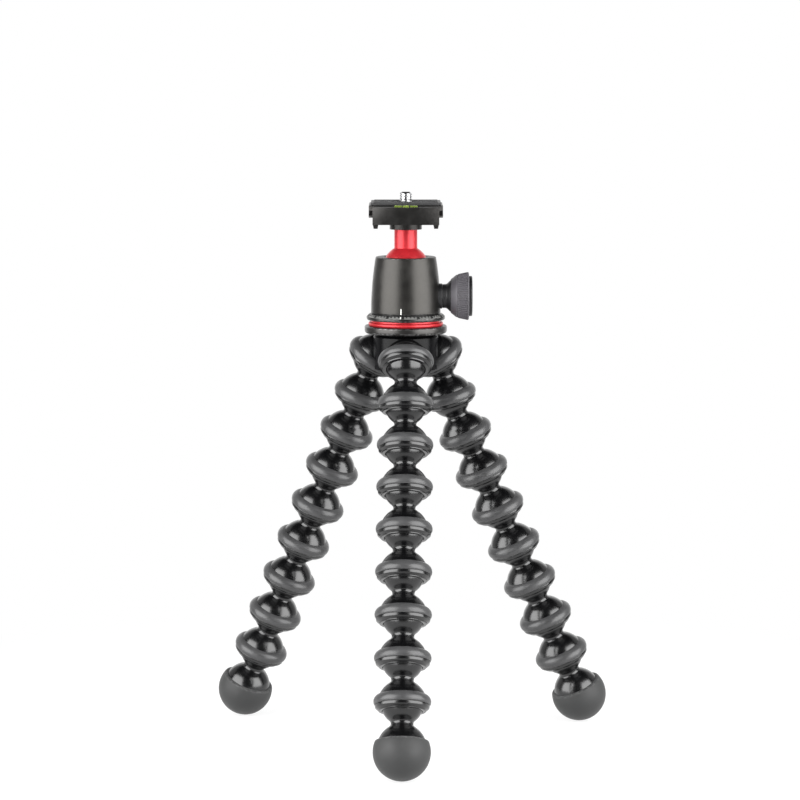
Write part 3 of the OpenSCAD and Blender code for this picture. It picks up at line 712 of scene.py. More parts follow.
# Turn of the index mark to the left of the front
INDEX_TURN = math.radians(8)
LOCK_PLACE = Matrix.Translation(joint_at("lock_knob_turn")) @ TO_X


# Materials

@once("Fine grain")
def grain_group(name):
    """Fine grain and broad mottling of a moulded or blasted surface."""
    tree, given, result = begin(name, "ShaderNodeTree", [
        ("Vector", "NodeSocketVector"), ("Grain", "NodeSocketFloat"), ("Mottle", "NodeSocketFloat")],
        [("Height", "NodeSocketFloat"), ("Mask", "NodeSocketFloat")])
    vector = out(given, "Vector")
    fine = add(tree, "ShaderNodeTexNoise", None, {
        "Vector": vector, "Scale": out(given, "Grain"), "Detail": 3.0, "Roughness": 0.6})
    broad = add(tree, "ShaderNodeTexNoise", None, {
        "Vector": vector, "Scale": out(given, "Mottle"), "Detail": 4.0, "Roughness": 0.65})
    contrast = add(tree, "ShaderNodeMapRange", None, {
        "Value": out(broad, "Fac"), "From Min": 0.3, "From Max": 0.7})
    tree.links.new(out(fine, "Fac"), socket(result.inputs, "Height"))
    tree.links.new(out(contrast), socket(result.inputs, "Mask"))
    return tree


@once("Edge wear")
def wear_group(name):
    """Worn patches along a piece's edges."""
    tree, given, result = begin(name, "ShaderNodeTree", [
        ("Vector", "NodeSocketVector"), ("Edge", "NodeSocketFloat"), ("Patch", "NodeSocketFloat")],
        [("Mask", "NodeSocketFloat")])
    patch = add(tree, "ShaderNodeTexNoise", None, {
        "Vector": out(given, "Vector"), "Scale": out(given, "Patch"), "Detail": 3.0})
    spots = add(tree, "ShaderNodeMapRange", None, {
        "Value": out(patch, "Fac"), "From Min": 0.42, "From Max": 0.68})
    tree.links.new(calc(tree, "MULTIPLY", out(spots), out(given, "Edge")), socket(result.inputs, "Mask"))
    return tree


@once("Turning lines")
def lines_group(name):
    """Fine lines that a lathe leaves round an axis."""
    tree, given, result = begin(name, "ShaderNodeTree", [
        ("Vector", "NodeSocketVector"), ("Lines", "NodeSocketFloat")], [("Height", "NodeSocketFloat")])
    parts = add(tree, "ShaderNodeSeparateXYZ", None, {0: out(given, "Vector")})
    square_x = calc(tree, "POWER", out(parts, "X"), 2.0)
    square_y = calc(tree, "POWER", out(parts, "Y"), 2.0)
    squares = calc(tree, "ADD", square_x, square_y)
    flat = add(tree, "ShaderNodeCombineXYZ", None, {"X": calc(tree, "SQRT", squares), "Z": out(parts, "Z")})
    noise = add(tree, "ShaderNodeTexNoise", None, {
        "Vector": out(flat), "Scale": out(given, "Lines"), "Detail": 2.0, "Roughness": 0.7})
    tree.links.new(out(noise, "Fac"), socket(result.inputs, "Height"))
    return tree


# A plain finish, apart from its roughness
PLAIN = {
    "metallic": 0.0, "spread": 0.05, "shade": 0.12, "grain": 2500.0, "mottle": 180.0, "depth": 0.006 * MM,
    "wear": 0.0, "worn": None, "lines": 0.0, "ior": 1.5, "sheen": 0.0, "see_through": 0.0}


def surface(rough, **changes):
    """A finish, given by its roughness and by how it differs from a plain one."""
    return SimpleNamespace(rough=rough, **{**PLAIN, **changes})


FINISHES = {
    "link_plastic": surface(
        0.23, spread=0.02, shade=0.25, grain=500.0, mottle=120.0, depth=0.00015 * MM, wear=0.35, worn=0.03,
        ior=1.62),
    "hub_plastic": surface(0.26, spread=0.04, shade=0.25, mottle=120.0, depth=0.004 * MM, ior=1.2),
    "ring_rubber": surface(
        0.34, spread=0.06, shade=0.14, grain=3500.0, mottle=160.0, depth=0.012 * MM, wear=0.25, worn=0.16),
    "foot_rubber": surface(
        0.62, spread=0.07, shade=0.16, grain=2600.0, mottle=140.0, depth=0.02 * MM, wear=0.3, worn=0.14,
        sheen=0.1),
    "plate_metal": surface(
        0.32, metallic=0.9, grain=4000.0, depth=0.004 * MM, wear=0.5, worn=0.42, lines=2600.0),
    "housing_metal": surface(
        0.37, metallic=0.9, grain=4200.0, depth=0.010 * MM, wear=0.45, worn=0.36, lines=1800.0),
    "red_metal": surface(
        0.36, metallic=0.4, shade=0.10, grain=4000.0, depth=0.004 * MM, wear=0.25, lines=2400.0),
    "knob_plastic": surface(
        0.45, spread=0.06, shade=0.2, grain=3000.0, depth=0.010 * MM, wear=0.4, worn=0.06),
    "grip_rubber": surface(
        0.52, spread=0.06, shade=0.14, grain=3000.0, depth=0.012 * MM, wear=0.3, worn=0.18, sheen=0.1),
    "pad_rubber": surface(
        0.68, spread=0.08, shade=0.2, grain=2200.0, depth=0.03 * MM, wear=0.3, worn=0.07, sheen=0.1),
    "steel": surface(
        0.28, metallic=1.0, spread=0.06, shade=0.1, grain=3000.0, depth=0.003 * MM, wear=0.2, worn=0.8,
        lines=3000.0),
    "acetal": surface(0.45, grain=1500.0),
    "wedge_brass": surface(0.34, metallic=1.0, spread=0.08),
    "vial_glass": surface(
        0.08, spread=0.02, shade=0.08, grain=300.0, mottle=90.0, depth=0.0004 * MM, ior=1.45,
        see_through=0.75),
    "mark": surface(0.5, shade=0.06, grain=4000.0, depth=0.004 * MM),
    # Painted light: the scale band's matte grey stands in for the light that the sloping metal catches
    "scale_painted_light": surface(0.5, spread=0.06, shade=0.15, grain=4000.0),
    "scale_black": surface(0.5, shade=0.2, grain=4000.0),
}


def finish(name):
    """The material of a finish, made once."""
    if name in bpy.data.materials and bpy.data.materials[name].get("tripod"):
        return bpy.data.materials[name]
    spec = FINISHES[name]
    colour = Vector(getattr(bpy.context.scene.tripod_finishes, name))
    material = bpy.data.materials.new(name)
    material["tripod"] = True
    tree = emptied(material)
    where = out(add(tree, "ShaderNodeTexCoord"), "Object")
    grain = add(tree, "ShaderNodeGroup", {"node_tree": grain_group()}, {
        "Vector": where, "Grain": spec.grain, "Mottle": spec.mottle})
    mask = out(grain, "Mask")
    dark = (*(colour * (1 - spec.shade)), 1.0)
    light = (*[min(1.0, c) for c in colour * (1 + spec.shade)], 1.0)
    shades = add(tree, "ShaderNodeMix", {"data_type": "RGBA"}, {
        "Factor": mask, COLOUR_A: dark, COLOUR_B: light})
    base = out(shades, COLOUR_OUT)
    rough = add(tree, "ShaderNodeMapRange", None, {
        "Value": mask, "To Min": spec.rough - spec.spread, "To Max": spec.rough + spec.spread})
    rough = out(rough)
    if spec.wear:
        patch_scale = 700.0
        worn_gain = 1.4
        worn_lift = 0.05
        worn_rough = 0.12
        edge = add(tree, "ShaderNodeAttribute", {"attribute_name": "edge"})
        worn = add(tree, "ShaderNodeGroup", {"node_tree": wear_group()}, {
            "Vector": where, "Edge": out(edge, "Fac"), "Patch": patch_scale})
        amount = calc(tree, "MULTIPLY", out(worn, "Mask"), spec.wear)
        lighter = (*[min(1.0, c * worn_gain + worn_lift) for c in colour], 1.0)
        bare = grey(spec.worn) if spec.worn else lighter
        rubbed = add(tree, "ShaderNodeMix", {"data_type": "RGBA"}, {
            "Factor": amount, COLOUR_A: base, COLOUR_B: bare})
        base = out(rubbed, COLOUR_OUT)
        rough = calc(tree, "ADD", rough, calc(tree, "MULTIPLY", amount, worn_rough))
    height = out(grain, "Height")
    if spec.lines:
        line_share = 1.5
        centred = add(tree, "ShaderNodeMapping", {"vector_type": "TEXTURE"}, {
            "Vector": where, "Location": HEAD_AXIS})
        lines = add(tree, "ShaderNodeGroup", {"node_tree": lines_group()}, {
            "Vector": out(centred), "Lines": spec.lines})
        height = calc(tree, "ADD", height, calc(tree, "MULTIPLY", out(lines, "Height"), line_share))
    bump = add(tree, "ShaderNodeBump", None, {"Height": height, "Distance": spec.depth, "Strength": 1.0})
    shader = add(tree, "ShaderNodeBsdfPrincipled", None, {
        "Base Color": base, "Roughness": rough, "Normal": out(bump), "Metallic": spec.metallic,
        "IOR": spec.ior, "Sheen Weight": spec.sheen, "Transmission Weight": spec.see_through})
    add(tree, "ShaderNodeOutputMaterial", None, {"Surface": out(shader)})
    return material


# Operators

class TripodOperator(bpy.types.Operator):
    """Shared settings of the tripod's operators."""

    bl_options = {"REGISTER", "UNDO"}


class TRIPOD_OT_leg_links(TripodOperator):
    """Makes the 24 links of the legs with their rubber rings."""

    bl_idname = "tripod.leg_links"
    bl_label = "Leg links"

    def execute(self, context):
        link = Link(context.scene.tripod_legs)
        shell = turned(link.shell(), finish("link_plastic"))
        ring = turned(moved(link.ring(), -LINK_PITCH), finish("ring_rubber"))
        for leg in LEGS:
            for number in range(1, LINKS + 1):
                node = f"{leg}_link_{number}"
                place = link_place(leg, number)
                piece(f"{node}_shell", placed(shell, place), node, [node])
                piece(f"{node}_ring", placed(ring, place), node, [node])
        return {"FINISHED"}


class TRIPOD_OT_feet(TripodOperator):
    """Makes the three feet with their rubber caps."""

    bl_idname = "tripod.feet"
    bl_label = "Feet"

    def execute(self, context):
        link = Link(context.scene.tripod_legs)
        shell = turned(link.foot(), finish("link_plastic"))
        cap = turned(link.cap(), finish("foot_rubber"))
        for leg in LEGS:
            place = link_place(leg, LINKS + 1)
            piece(f"{leg}_foot_shell", placed(shell, place), f"{leg}_foot", [f"{leg}_foot"])
            piece(f"{leg}_foot_rubber", placed(cap, place), f"{leg}_foot", [f"{leg}_foot_cap"])
        return {"FINISHED"}


class TRIPOD_OT_hub(TripodOperator):
    """Makes the hub moulding with its three sockets and rings."""

    bl_idname = "tripod.hub"
    bl_label = "Hub"

    def execute(self, context):
        sizes = context.scene.tripod_legs
        link = Link(sizes)
        body = self.body(sizes, link, finish("hub_plastic"))
        cup = turned(link.cup(), finish("link_plastic"))
        ring = turned(link.ring(), finish("ring_rubber"))
        places = [hub_place(leg, sizes.socket_lean) for leg in LEGS]
        piece("hub_column", body, "stand", ["hub_body"])
        cups = joined([placed(cup, p) for p in places])
        piece("hub_sockets", cups, "stand", ["hub_body"])
        rings = joined([placed(ring, p) for p in places])
        piece("hub_ring_rubber", rings, "stand", ["hub_rings"])
        return {"FINISHED"}

    def body(self, sizes, link, plastic):
        """Column cut away round its three sockets and bored for the stud, its edges softened."""
        move_gap = 0.3 * MM
        far = 80 * MM
        voxel = 0.4 * MM
        soften_by = 0.5
        soften_times = 3
        wall = 0.6 * MM
        stud_r = 3.3 * MM
        stud_room = 0.15 * MM
        head_t = 2.9 * MM
        neck_in = 1.9 * MM
        neck_low = 1.5 * MM
        neck_slope = 0.5 * MM
        room_r = link.ring_r + move_gap
        shelf = sizes.ring_rise + sizes.ring_bulge + move_gap
        hub_r = sizes.hub_d / 2
        neck_r = hub_r - neck_in
        bottom = low_z("hub_stud")
        top = high_z("hub_body")
        head_r = across("hub_stud") / 2 + stud_room
        corners = [
            (stud_r, bottom + head_t), (head_r, bottom + head_t), (head_r, bottom), (hub_r, bottom),
            (hub_r, top - neck_low), (neck_r, top - neck_low + neck_slope), (neck_r, top), (stud_r, top)]
        column = unmarked(corners + corners[:1])
        mesh = placed(turned(column, plastic, FINE_SEGMENTS), ON_AXIS)
        places = [hub_place(leg, sizes.socket_lean) for leg in LEGS]

        def tube(r, low, high):
            return turned(unmarked([(0.0, low), (r, low), (r, high), (0.0, high)]), plastic)

        def globe(r):
            return turned(arc((0.0, 0.0), r, -math.pi / 2, math.pi / 2, 2 * FINE_ARC), plastic, FINE_SEGMENTS)

        mesh = carved(mesh, [placed(tube(room_r, -far, shelf), p) for p in places])
        mesh = carved(mesh, [placed(globe(link.dome_r - wall), p) for p in places])
        holder = temporary(faced_out(mesh))
        remesh = holder.modifiers.new("Fill", "REMESH")
        remesh.mode = "VOXEL"
        remesh.voxel_size = voxel
        smooth = holder.modifiers.new("Soften", "SMOOTH")
        smooth.factor = soften_by
        smooth.iterations = soften_times
        return shaded(evaluated(holder), plastic, math.pi)


class TRIPOD_OT_pan_stack(TripodOperator):
    """Makes the platform, the coloured ring and the pan base with its scale."""

    bl_idname = "tripod.pan_stack"
    bl_label = "Pan base"

    def execute(self, context):
        sizes = context.scene.tripod_head
        fit = 0.05 * MM
        floor, accent_z = low_z("platform"), low_z("accent_ring")
        top = high_z("accent_ring")
        stud_r = 3.25 * MM
        bore_r = sizes.accent_bore / 2
        platform_r = across("platform") / 2
        spigot_r = bore_r - fit
        under_round = 1.5 * MM
        platform = rounded([
            (stud_r, floor, 0), (platform_r, floor, under_round), (platform_r, accent_z, sizes.edge),
            (spigot_r, accent_z, 0), (spigot_r, top, 0), (stud_r, top, 0)], closed=True)
        self.plate("platform_plate", platform, "plate_metal", ["platform"])

        accent_r = across("accent_ring") / 2
        crest = 0.8 * MM
        crest_end = 1.6 * MM
        recess_up = 1.92 * MM
        crest_round = 0.45 * MM
        foot_in = 0.4 * MM
        recess = 1.5 * MM
        accent = rounded([
            (bore_r, accent_z, 0), (accent_r - foot_in, accent_z, crest_round / 2),
            (accent_r, accent_z + crest, crest_round),
            (accent_r - foot_in / 2, accent_z + crest_end, crest_round / 2),
            (accent_r - recess, accent_z + recess_up, crest_round / 2), (accent_r - recess, top, 0),
            (bore_r, top, 0)], closed=True)
        self.plate("accent_band", accent, "red_metal", ["accent_ring"])

        base_r = across("pan_base") / 2
        base_top = low_z("pan_washer")
        spindle_r = sizes.spindle_d / 2
        slope_round = 0.25 * MM
        base = rounded([
            (0.0, top, 0), (base_r, top, sizes.edge), (base_r, base_top - sizes.bevel, slope_round),
            (base_r - sizes.bevel, base_top, slope_round), (spindle_r, base_top, 0),
            (spindle_r, high_z("pan_base"), slope_round), (0.0, high_z("pan_base"), 0)])
        self.plate("pan_base_plate", base, "plate_metal", ["pan_base"])
        self.scale(sizes, base_r, base_top)
        return {"FINISHED"}

    def plate(self, name, outline, look, nodes=(), slot=None):
        """A finely turned piece of the stand, round the head's axis."""
        turned_piece(name, outline, look, ON_AXIS, "stand", nodes, FINE_SEGMENTS)

    def scale(self, sizes, base_r, base_top):
        """Band of painted light round the slope, a matte grey that stands in for the lit metal, with black
        marks and a light one at the index.
        """
        short_wide = 0.9 * MM
        short_share = 0.55
        long_wide = 1.7 * MM
        long_share = 0.95
        long_every = 4
        zero_wide = 0.5 * MM
        zero_share = 0.9
        margin = 0.12 * MM
        paint = 0.03 * MM
        slope = sizes.bevel
        low = Vector((base_r - margin, base_top - slope + margin))
        high = Vector((base_r - slope + margin, base_top - margin))
        proud = Vector((paint, paint))

        def mark(width, share):
            """A painted mark that lies on the slope, from its top down."""
            bottom = high.lerp(low, share)
            profile = [bottom + proud, high + proud, high - proud, bottom - proud]
            return prism([(v.x, v.y) for v in profile], -width / 2, width / 2)

        # The band's lighter grey is painted light, standing in for the light the slope catches
        band = unmarked([tuple(v) for v in (low, low + proud / 2, high + proud / 2, high, low)])
        self.plate("scale_band", band, "scale_painted_light", slot="plate_metal")
        black = finish("scale_black")
        rows = ((short_wide, short_share, sizes.ticks), (long_wide, long_share, sizes.ticks // long_every))
        marks = [grown(ring_row_tree(), mark(wide, share), {"Count": count, "Material": black})
                 for wide, share, count in rows]
        to_front = ON_AXIS @ Matrix.Rotation(-math.pi / 2 - INDEX_TURN, 4, "Z")
        half_step = Matrix.Rotation(math.pi / sizes.ticks, 4, "Z")
        piece("scale_marks", shaded(placed(joined(marks), to_front @ half_step), black), "stand")
        zero = placed(mark(zero_wide, zero_share), to_front @ Matrix.Translation((paint, 0.0, paint)))
        piece("scale_zero", shaded(zero, finish("mark")), "stand")


class TRIPOD_OT_housing(TripodOperator):
    """Makes the ball housing with its notch, its lock bush and its index mark."""

    bl_idname = "tripod.housing"
    bl_label = "Housing"

    def execute(self, context):
        sizes = context.scene.tripod_head
        metal = finish("housing_metal")
        low, high = low_z("housing"), high_z("housing")
        centre_z = joint_at("tilt").z
        foot_r = (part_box("housing")[1].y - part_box("housing")[0].y) / 2
        rise = high - low
        taper = foot_r - sizes.housing_top_d / 2
        steps = 18
        foot_round = 0.5 * MM
        rim_round = 0.6 * MM
        bow = []
        for i in range(1, steps):
            share = i / steps
            bow.append((foot_r - taper * share ** 2, low + rise * share, 0))
        room_r = sizes.head_ball_d / 2 + sizes.ball_room
        bore_r = sizes.head_ball_d / 2 + sizes.bore_room
        slope_z = high - sizes.rim_bevel
        slope_r = side(room_r, slope_z - centre_z)
        shell = rounded([
            (bore_r, low, 0), (foot_r, low, foot_round), *bow, (foot_r - taper, high, rim_round),
            (slope_r + sizes.rim_bevel, high, foot_round / 2), (slope_r, slope_z, 0)])
        turn = math.atan2(slope_z - centre_z, slope_r)
        inside = arc((0.0, centre_z), room_r, turn, 0.0, SHORT_ARC)
        outline = shell + inside[1:] + [(bore_r, centre_z, SMOOTH), shell[0]]
        mesh = placed(turned(outline, metal, FINE_SEGMENTS), ON_AXIS)
        mesh = carved(mesh, [self.notch(sizes, centre_z)])
        piece("housing_shell", shaded(mesh, metal), "head", ["housing"])
        self.bush(sizes, bore_r)
        self.index(foot_r, low)
        return {"FINISHED"}

    def notch(self, sizes, centre_z):
        """The room behind, in which the stem lies when the head is tipped over."""
        r = sizes.stem_d / 2 + sizes.notch_gap
        up = 30 * MM
        far = 60 * MM
        lower = [(r * math.cos(a), r * math.sin(a))
                 for a in (math.pi + math.pi * i / FINE_ARC for i in range(FINE_ARC + 1))]
        place = ON_AXIS @ Matrix.Translation((0.0, 0.0, centre_z))
        return prism(lower + [(r, up), (-r, up)], 0.0, far, place)

    def bush(self, sizes, bore_r):
        """Black bush that carries the lock screw."""
        edge = 0.5 * MM
        inset = 0.4 * MM
        hole_r = sizes.screw_d / 2
        start = bore_r + inset
        bush_r = sizes.boss_d / 2
        outline = rounded([
            (hole_r, start, 0), (bush_r, start, 0), (bush_r, sizes.boss_out, edge),
            (hole_r, sizes.boss_out, 0)], closed=True)
        turned_piece("lock_bush", outline, "knob_plastic", LOCK_PLACE, "head", ["housing"])

    def index(self, foot_r, low):
        """White index mark above the scale."""
        wide = 0.55 * MM
        tall = 3.0 * MM
        up = 0.35 * MM
        paint = 0.04 * MM
        turn = -math.pi / 2 - INDEX_TURN
        profile = [(foot_r - paint, low + up), (foot_r + paint, low + up),
                   (foot_r + paint, low + up + tall), (foot_r - 2 * paint, low + up + tall)]
        mesh = prism(profile, -wide / 2, wide / 2, ON_AXIS @ Matrix.Rotation(turn, 4, "Z"))
        piece("index_mark", shaded(mesh, finish("mark")), "head")


class TRIPOD_OT_lock_knob(TripodOperator):
    """Makes the lock knob: black neck, ribbed rubber grip and end cap."""

    bl_idname = "tripod.lock_knob"
    bl_label = "Lock knob"

    def execute(self, context):
        sizes = context.scene.tripod_head
        low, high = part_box("knob_core")
        start = low.x - HEAD_AXIS.x
        end = high.x - HEAD_AXIS.x
        grip_low, grip_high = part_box("knob_grip")
        grip_r = (grip_high.z - grip_low.z) / 2
        hole_r = sizes.screw_d / 2
        neck_r = sizes.neck_d / 2
        collar_out = 2.1 * MM
        collar_at = 4.1 * MM
        flare_at = 2.0 * MM
        flare_round = 1.6 * MM
        core_in = 1.0 * MM
        fine = 0.3 * MM
        collar_r = neck_r + collar_out
        collar_x = start + collar_at
        core_r = collar_r - core_in
        neck = rounded([
            (hole_r, start, 0), (neck_r, start, fine), (neck_r, start + flare_at, flare_round),
            (collar_r, collar_x, fine), (core_r, collar_x + fine, 0), (core_r, end, 0),
            (hole_r, end, 0)], closed=True)
        turned_piece("knob_neck", neck, "knob_plastic", LOCK_PLACE, "lock_knob", ["knob_core"])

        shoulder_in = 1.4 * MM
        shoulder_at = 3.1 * MM
        rib_step = 0.35 * MM
        rim_in = 0.1 * MM
        rim_back = 0.8 * MM
        groove = 0.55 * MM
        grip_gap = 0.05 * MM
        shoulder = (grip_r - shoulder_in, collar_x + shoulder_at)
        rim_r = grip_r - rim_in
        rim_x = end - rim_back
        first = (shoulder[0] - rib_step, shoulder[1] + rib_step)
        last = (rim_r - groove, rim_x)
        inside_r = core_r + grip_gap
        grip = rounded([
            (inside_r, collar_x + fine, 0), (collar_r + fine, collar_x, fine), (*shoulder, fine),
            (*first, 0), (*last, 0), (rim_r, rim_x, fine / 2), (rim_r, end - fine, fine / 2),
            (rim_r - 2 * fine, end, fine / 2), (inside_r, end, 0)], closed=True)
        turned_piece("knob_grip_band", grip, "grip_rubber", LOCK_PLACE, "lock_knob", ["knob_grip"])
        rubber = finish("grip_rubber")
        rib = self.rib(first, last, groove)
        ribs = grown(ring_row_tree(), rib, {"Count": sizes.ribs, "Material": rubber})
        ribs = shaded(placed(ribs, LOCK_PLACE), rubber)
        piece("knob_grip_ribs", ribs, "lock_knob", ["knob_grip"])
        self.cap()
        return {"FINISHED"}

    def rib(self, first, last, high):
        """A low bar along the grip that dies away at its narrow end."""
        half = 0.32 * MM
        sink = 0.25 * MM
        low_start = 0.5
        fade = 5.0
        stations = 6
        flank_up = 0.7
        flank_out = 0.6
        loops = []
        for i in range(stations + 1):
            share = i / stations
            spot = Vector(first).lerp(Vector(last), share)
            lift = high * min(1.0, low_start + fade * share)
            flank = spot.x + lift * flank_up
            rows = [(spot.x - sink, -half), (flank, -half * flank_out), (spot.x + lift, 0.0),
                    (flank, half * flank_out), (spot.x - sink, half)]
            loops.append([(r, y, spot.y) for r, y in rows])
        return loft(loops)

    def cap(self):
        """Black end cap with a shallow dish."""
        low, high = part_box("knob_cap")
        cap_r = (high.z - low.z) / 2
        start = low.x - HEAD_AXIS.x
        end = high.x - HEAD_AXIS.x
        edge = 0.6 * MM
        rim = 1.6 * MM
        dish_r = cap_r - rim
        dish = 0.5 * MM
        outline = rounded([
            (0.0, start, 0), (cap_r, start, edge / 2), (cap_r, end, edge), (dish_r, end, edge / 2),
            (dish_r - dish, end - dish, edge / 2), (0.0, end - dish, 0)])
        turned_piece("knob_end_cap", outline, "knob_plastic", LOCK_PLACE, "lock_knob", ["knob_cap"])


class TRIPOD_OT_ball_stem(TripodOperator):
    """Makes the red ball with its stem."""

    bl_idname = "tripod.ball_stem"
    bl_label = "Ball and stem"

    def execute(self, context):
        sizes = context.scene.tripod_head
        centre_z = joint_at("tilt").z
        top = high_z("ball_stem")
        ball_r = sizes.head_ball_d / 2
        stem_r = sizes.stem_d / 2
        hole_r = 2.55 * MM
        hole = 9 * MM
        root = 0.35 * MM
        edge = 0.3 * MM
        turn = math.acos((stem_r + root) / ball_r)
        globe = arc((0.0, centre_z), ball_r, -math.pi / 2, turn, 2 * FINE_ARC)
        root_z = globe[-1][1]
        stem = rounded([
            (globe[-1][0], root_z, 0), (stem_r, root_z + root, 0), (stem_r, top, edge), (hole_r, top, 0),
            (hole_r, top - hole, 0), (0.0, top - hole, 0)])
        turned_piece("ball_and_stem", globe[:-1] + stem, "red_metal", ON_AXIS, "ball", ["ball_stem"],
                     segments=FINE_SEGMENTS)
        return {"FINISHED"}


class TRIPOD_OT_clamp(TripodOperator):
    """Makes the clamp, its jaw, lever and level."""

    bl_idname = "tripod.clamp"
    bl_label = "Clamp"

    def execute(self, context):
        metal = finish("plate_metal")
        edge = 0.35 * MM
        for node, name in (("clamp_base", "clamp_body"), ("clamp_jaw", "clamp_moving_jaw")):
            piece(name, softened(cad_copy(node), edge, metal), "clamp", [node])
        lever = softened(cad_copy("clamp_lever"), edge, finish("knob_plastic"))
        piece("clamp_cam_lever", lever, "lever", ["clamp_lever"])
        self.level()
        return {"FINISHED"}

    def level(self):
        """Level vial with its bubble and two lines."""
        low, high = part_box("level_vial")
        r = (high.z - low.z) / 2
        half = (high.x - low.x) / 2
        middle = (low + high) / 2
        place = Matrix.Translation(middle) @ TO_X
        edge = 0.5 * MM
        vial = rounded([(0.0, -half, 0), (r, -half, edge), (r, half, edge), (0.0, half, 0)])
        turned_piece("vial", vial, "vial_glass", place, "clamp", ["level_vial"])
        line_out = 0.04 * MM
        line_half = 0.18 * MM
        line_gap = 0.4 * MM
        bubble_half = 1.5 * MM
        bubble_share = 0.55
        line = rounded([
            (r - line_out, -line_half, 0), (r + line_out, -line_half, 0), (r + line_out, line_half, 0),
            (r - line_out, line_half, 0)], closed=True)
        black = finish("scale_black")
        line_x = bubble_half + line_gap
        lines = [placed(turned(moved(line, at), black), place) for at in (-line_x, line_x)]
        piece("vial_lines", joined(lines), "clamp", ["level_vial"])
        bubble_r = bubble_share * r
        bubble = arc((0.0, 0.0), bubble_r, -math.pi / 2, math.pi / 2)
        mesh = turned([(x, z * bubble_half / bubble_r, mark) for x, z, mark in bubble], finish("mark"))
        lift = Matrix.Translation((0.0, 0.0, r - bubble_r - line_out))
        piece("vial_bubble", placed(mesh, lift @ place), "clamp", ["level_vial"])


class TRIPOD_OT_camera_plate(TripodOperator):
    """Makes the camera plate, its ridged pad and the camera screw."""

    bl_idname = "tripod.camera_plate"
    bl_label = "Camera plate"

    def execute(self, context):
        sizes = context.scene.tripod_head
        edge = 0.35 * MM
        plate = softened(cad_copy("camera_plate"), edge, finish("plate_metal"))
        piece("camera_plate_body", plate, "plate", ["camera_plate"])
        rubber = finish("pad_rubber")
        pad = softened(cad_copy("plate_pad"), edge, rubber)
        piece("camera_pad", pad, "plate", ["plate_pad"])
        self.ridges(sizes, rubber)
        self.screw(sizes)
        return {"FINISHED"}

    def ridges(self, sizes, rubber):
        """Low ridges across the pad, cut away round the screw."""
        low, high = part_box("plate_pad")
        margin = 1.6 * MM
        half = (high.x - low.x) / 2 - margin
        wide = 0.5 * MM
        tall = 0.28 * MM
        sink = 0.2 * MM
        hole_r = 6.4 * MM
        top_share = 0.55
        profile = [(-wide, -sink), (wide, -sink), (wide * top_share, tall), (-wide * top_share, tall)]
        bar = prism(profile, -half, half, Matrix.Rotation(math.pi / 2, 4, "Z"))
        count = sizes.pad_ridges
        run = high.y - low.y - 2 * margin
        mesh = grown(straight_row_tree(), bar, {
            "Count": count, "Start": (HEAD_AXIS.x, low.y + margin, high.z),
            "Step": (0.0, run / (count - 1), 0.0), "Material": rubber})
        hole_top = high.z + hole_r
        hole = unmarked([(0.0, low.z), (hole_r, low.z), (hole_r, hole_top), (0.0, hole_top)])
        mesh = carved(mesh, [placed(turned(hole, rubber), ON_AXIS)])
        piece("camera_pad_ridges", shaded(mesh, rubber), "plate", ["plate_pad"])

    def screw(self, sizes):
        """Camera screw with its thread and coin slot."""
        steel = finish("steel")
        low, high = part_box("camera_screw")
        head_r = (high.x - low.x) / 2
        head_t = 2.2 * MM
        head_edge = 0.4 * MM
        pitch = 1.27 * MM
        ridge = 0.36 * MM
        thread_r = sizes.camera_screw_d / 2
        core_r = thread_r - ridge
        neck_r = 2.6 * MM
        seat = joint_at("camera_screw_turn").z
        chamfer = 0.7 * MM
        outline = rounded([
            (0.0, low.z, 0), (head_r, low.z, head_edge), (head_r, low.z + head_t, head_edge),
            (neck_r, low.z + head_t, 0), (neck_r, seat, 0), (core_r, seat, 0), (core_r, high.z - chamfer, 0),
            (core_r - chamfer, high.z, 0), (0.0, high.z, 0)])
        slot_half = 0.7 * MM
        slot_up = head_t / 2
        slot = [(-slot_half, -slot_up), (slot_half, -slot_up), (slot_half, slot_up), (-slot_half, slot_up)]
        cutter = prism(slot, -2 * head_r, 2 * head_r,
                       ON_AXIS @ Matrix.Translation((0.0, 0.0, low.z)) @ Matrix.Rotation(math.pi / 2, 4, "Z"))
        body = carved(placed(turned(outline, steel), ON_AXIS), [cutter])
        piece("camera_screw_body", shaded(body, steel), "camera_screw", ["camera_screw"])
        run = high.z - seat - chamfer
        thread = grown(thread_tree(), bpy.data.meshes.new("none"), {
            "Turns": run / pitch, "Radius": core_r, "Height": run, "Ridge": ridge, "Material": steel})
        mesh = placed(thread, ON_AXIS @ Matrix.Translation((0.0, 0.0, seat)))
        piece("camera_screw_thread", mesh, "camera_screw", ["camera_screw"])


class TRIPOD_OT_inner_parts(TripodOperator):
    """Gives the screws, pins and hidden parts of the frame their finishes."""

    bl_idname = "tripod.inner_parts"
    bl_label = "Inner parts"

    def execute(self, context):
        inner = {
            "steel": ["hub_stud", "housing_floor", "pan_clip", "lock_screw", "stem_screw", "guide_pins",
                      "pull_rod", "lever_pin"],
            "acetal": ["ball_seat"],
            "scale_black": ["pan_washer"],
            "wedge_brass": ["brake_wedge"],
        }
        for name, nodes in inner.items():
            for node in nodes:
                slots = NODES[node].material_slots
                if not slots:
                    raise RuntimeError(f"{node} has no material slot")
                for slot in slots:
                    slot.material = finish(name)
        return {"FINISHED"}


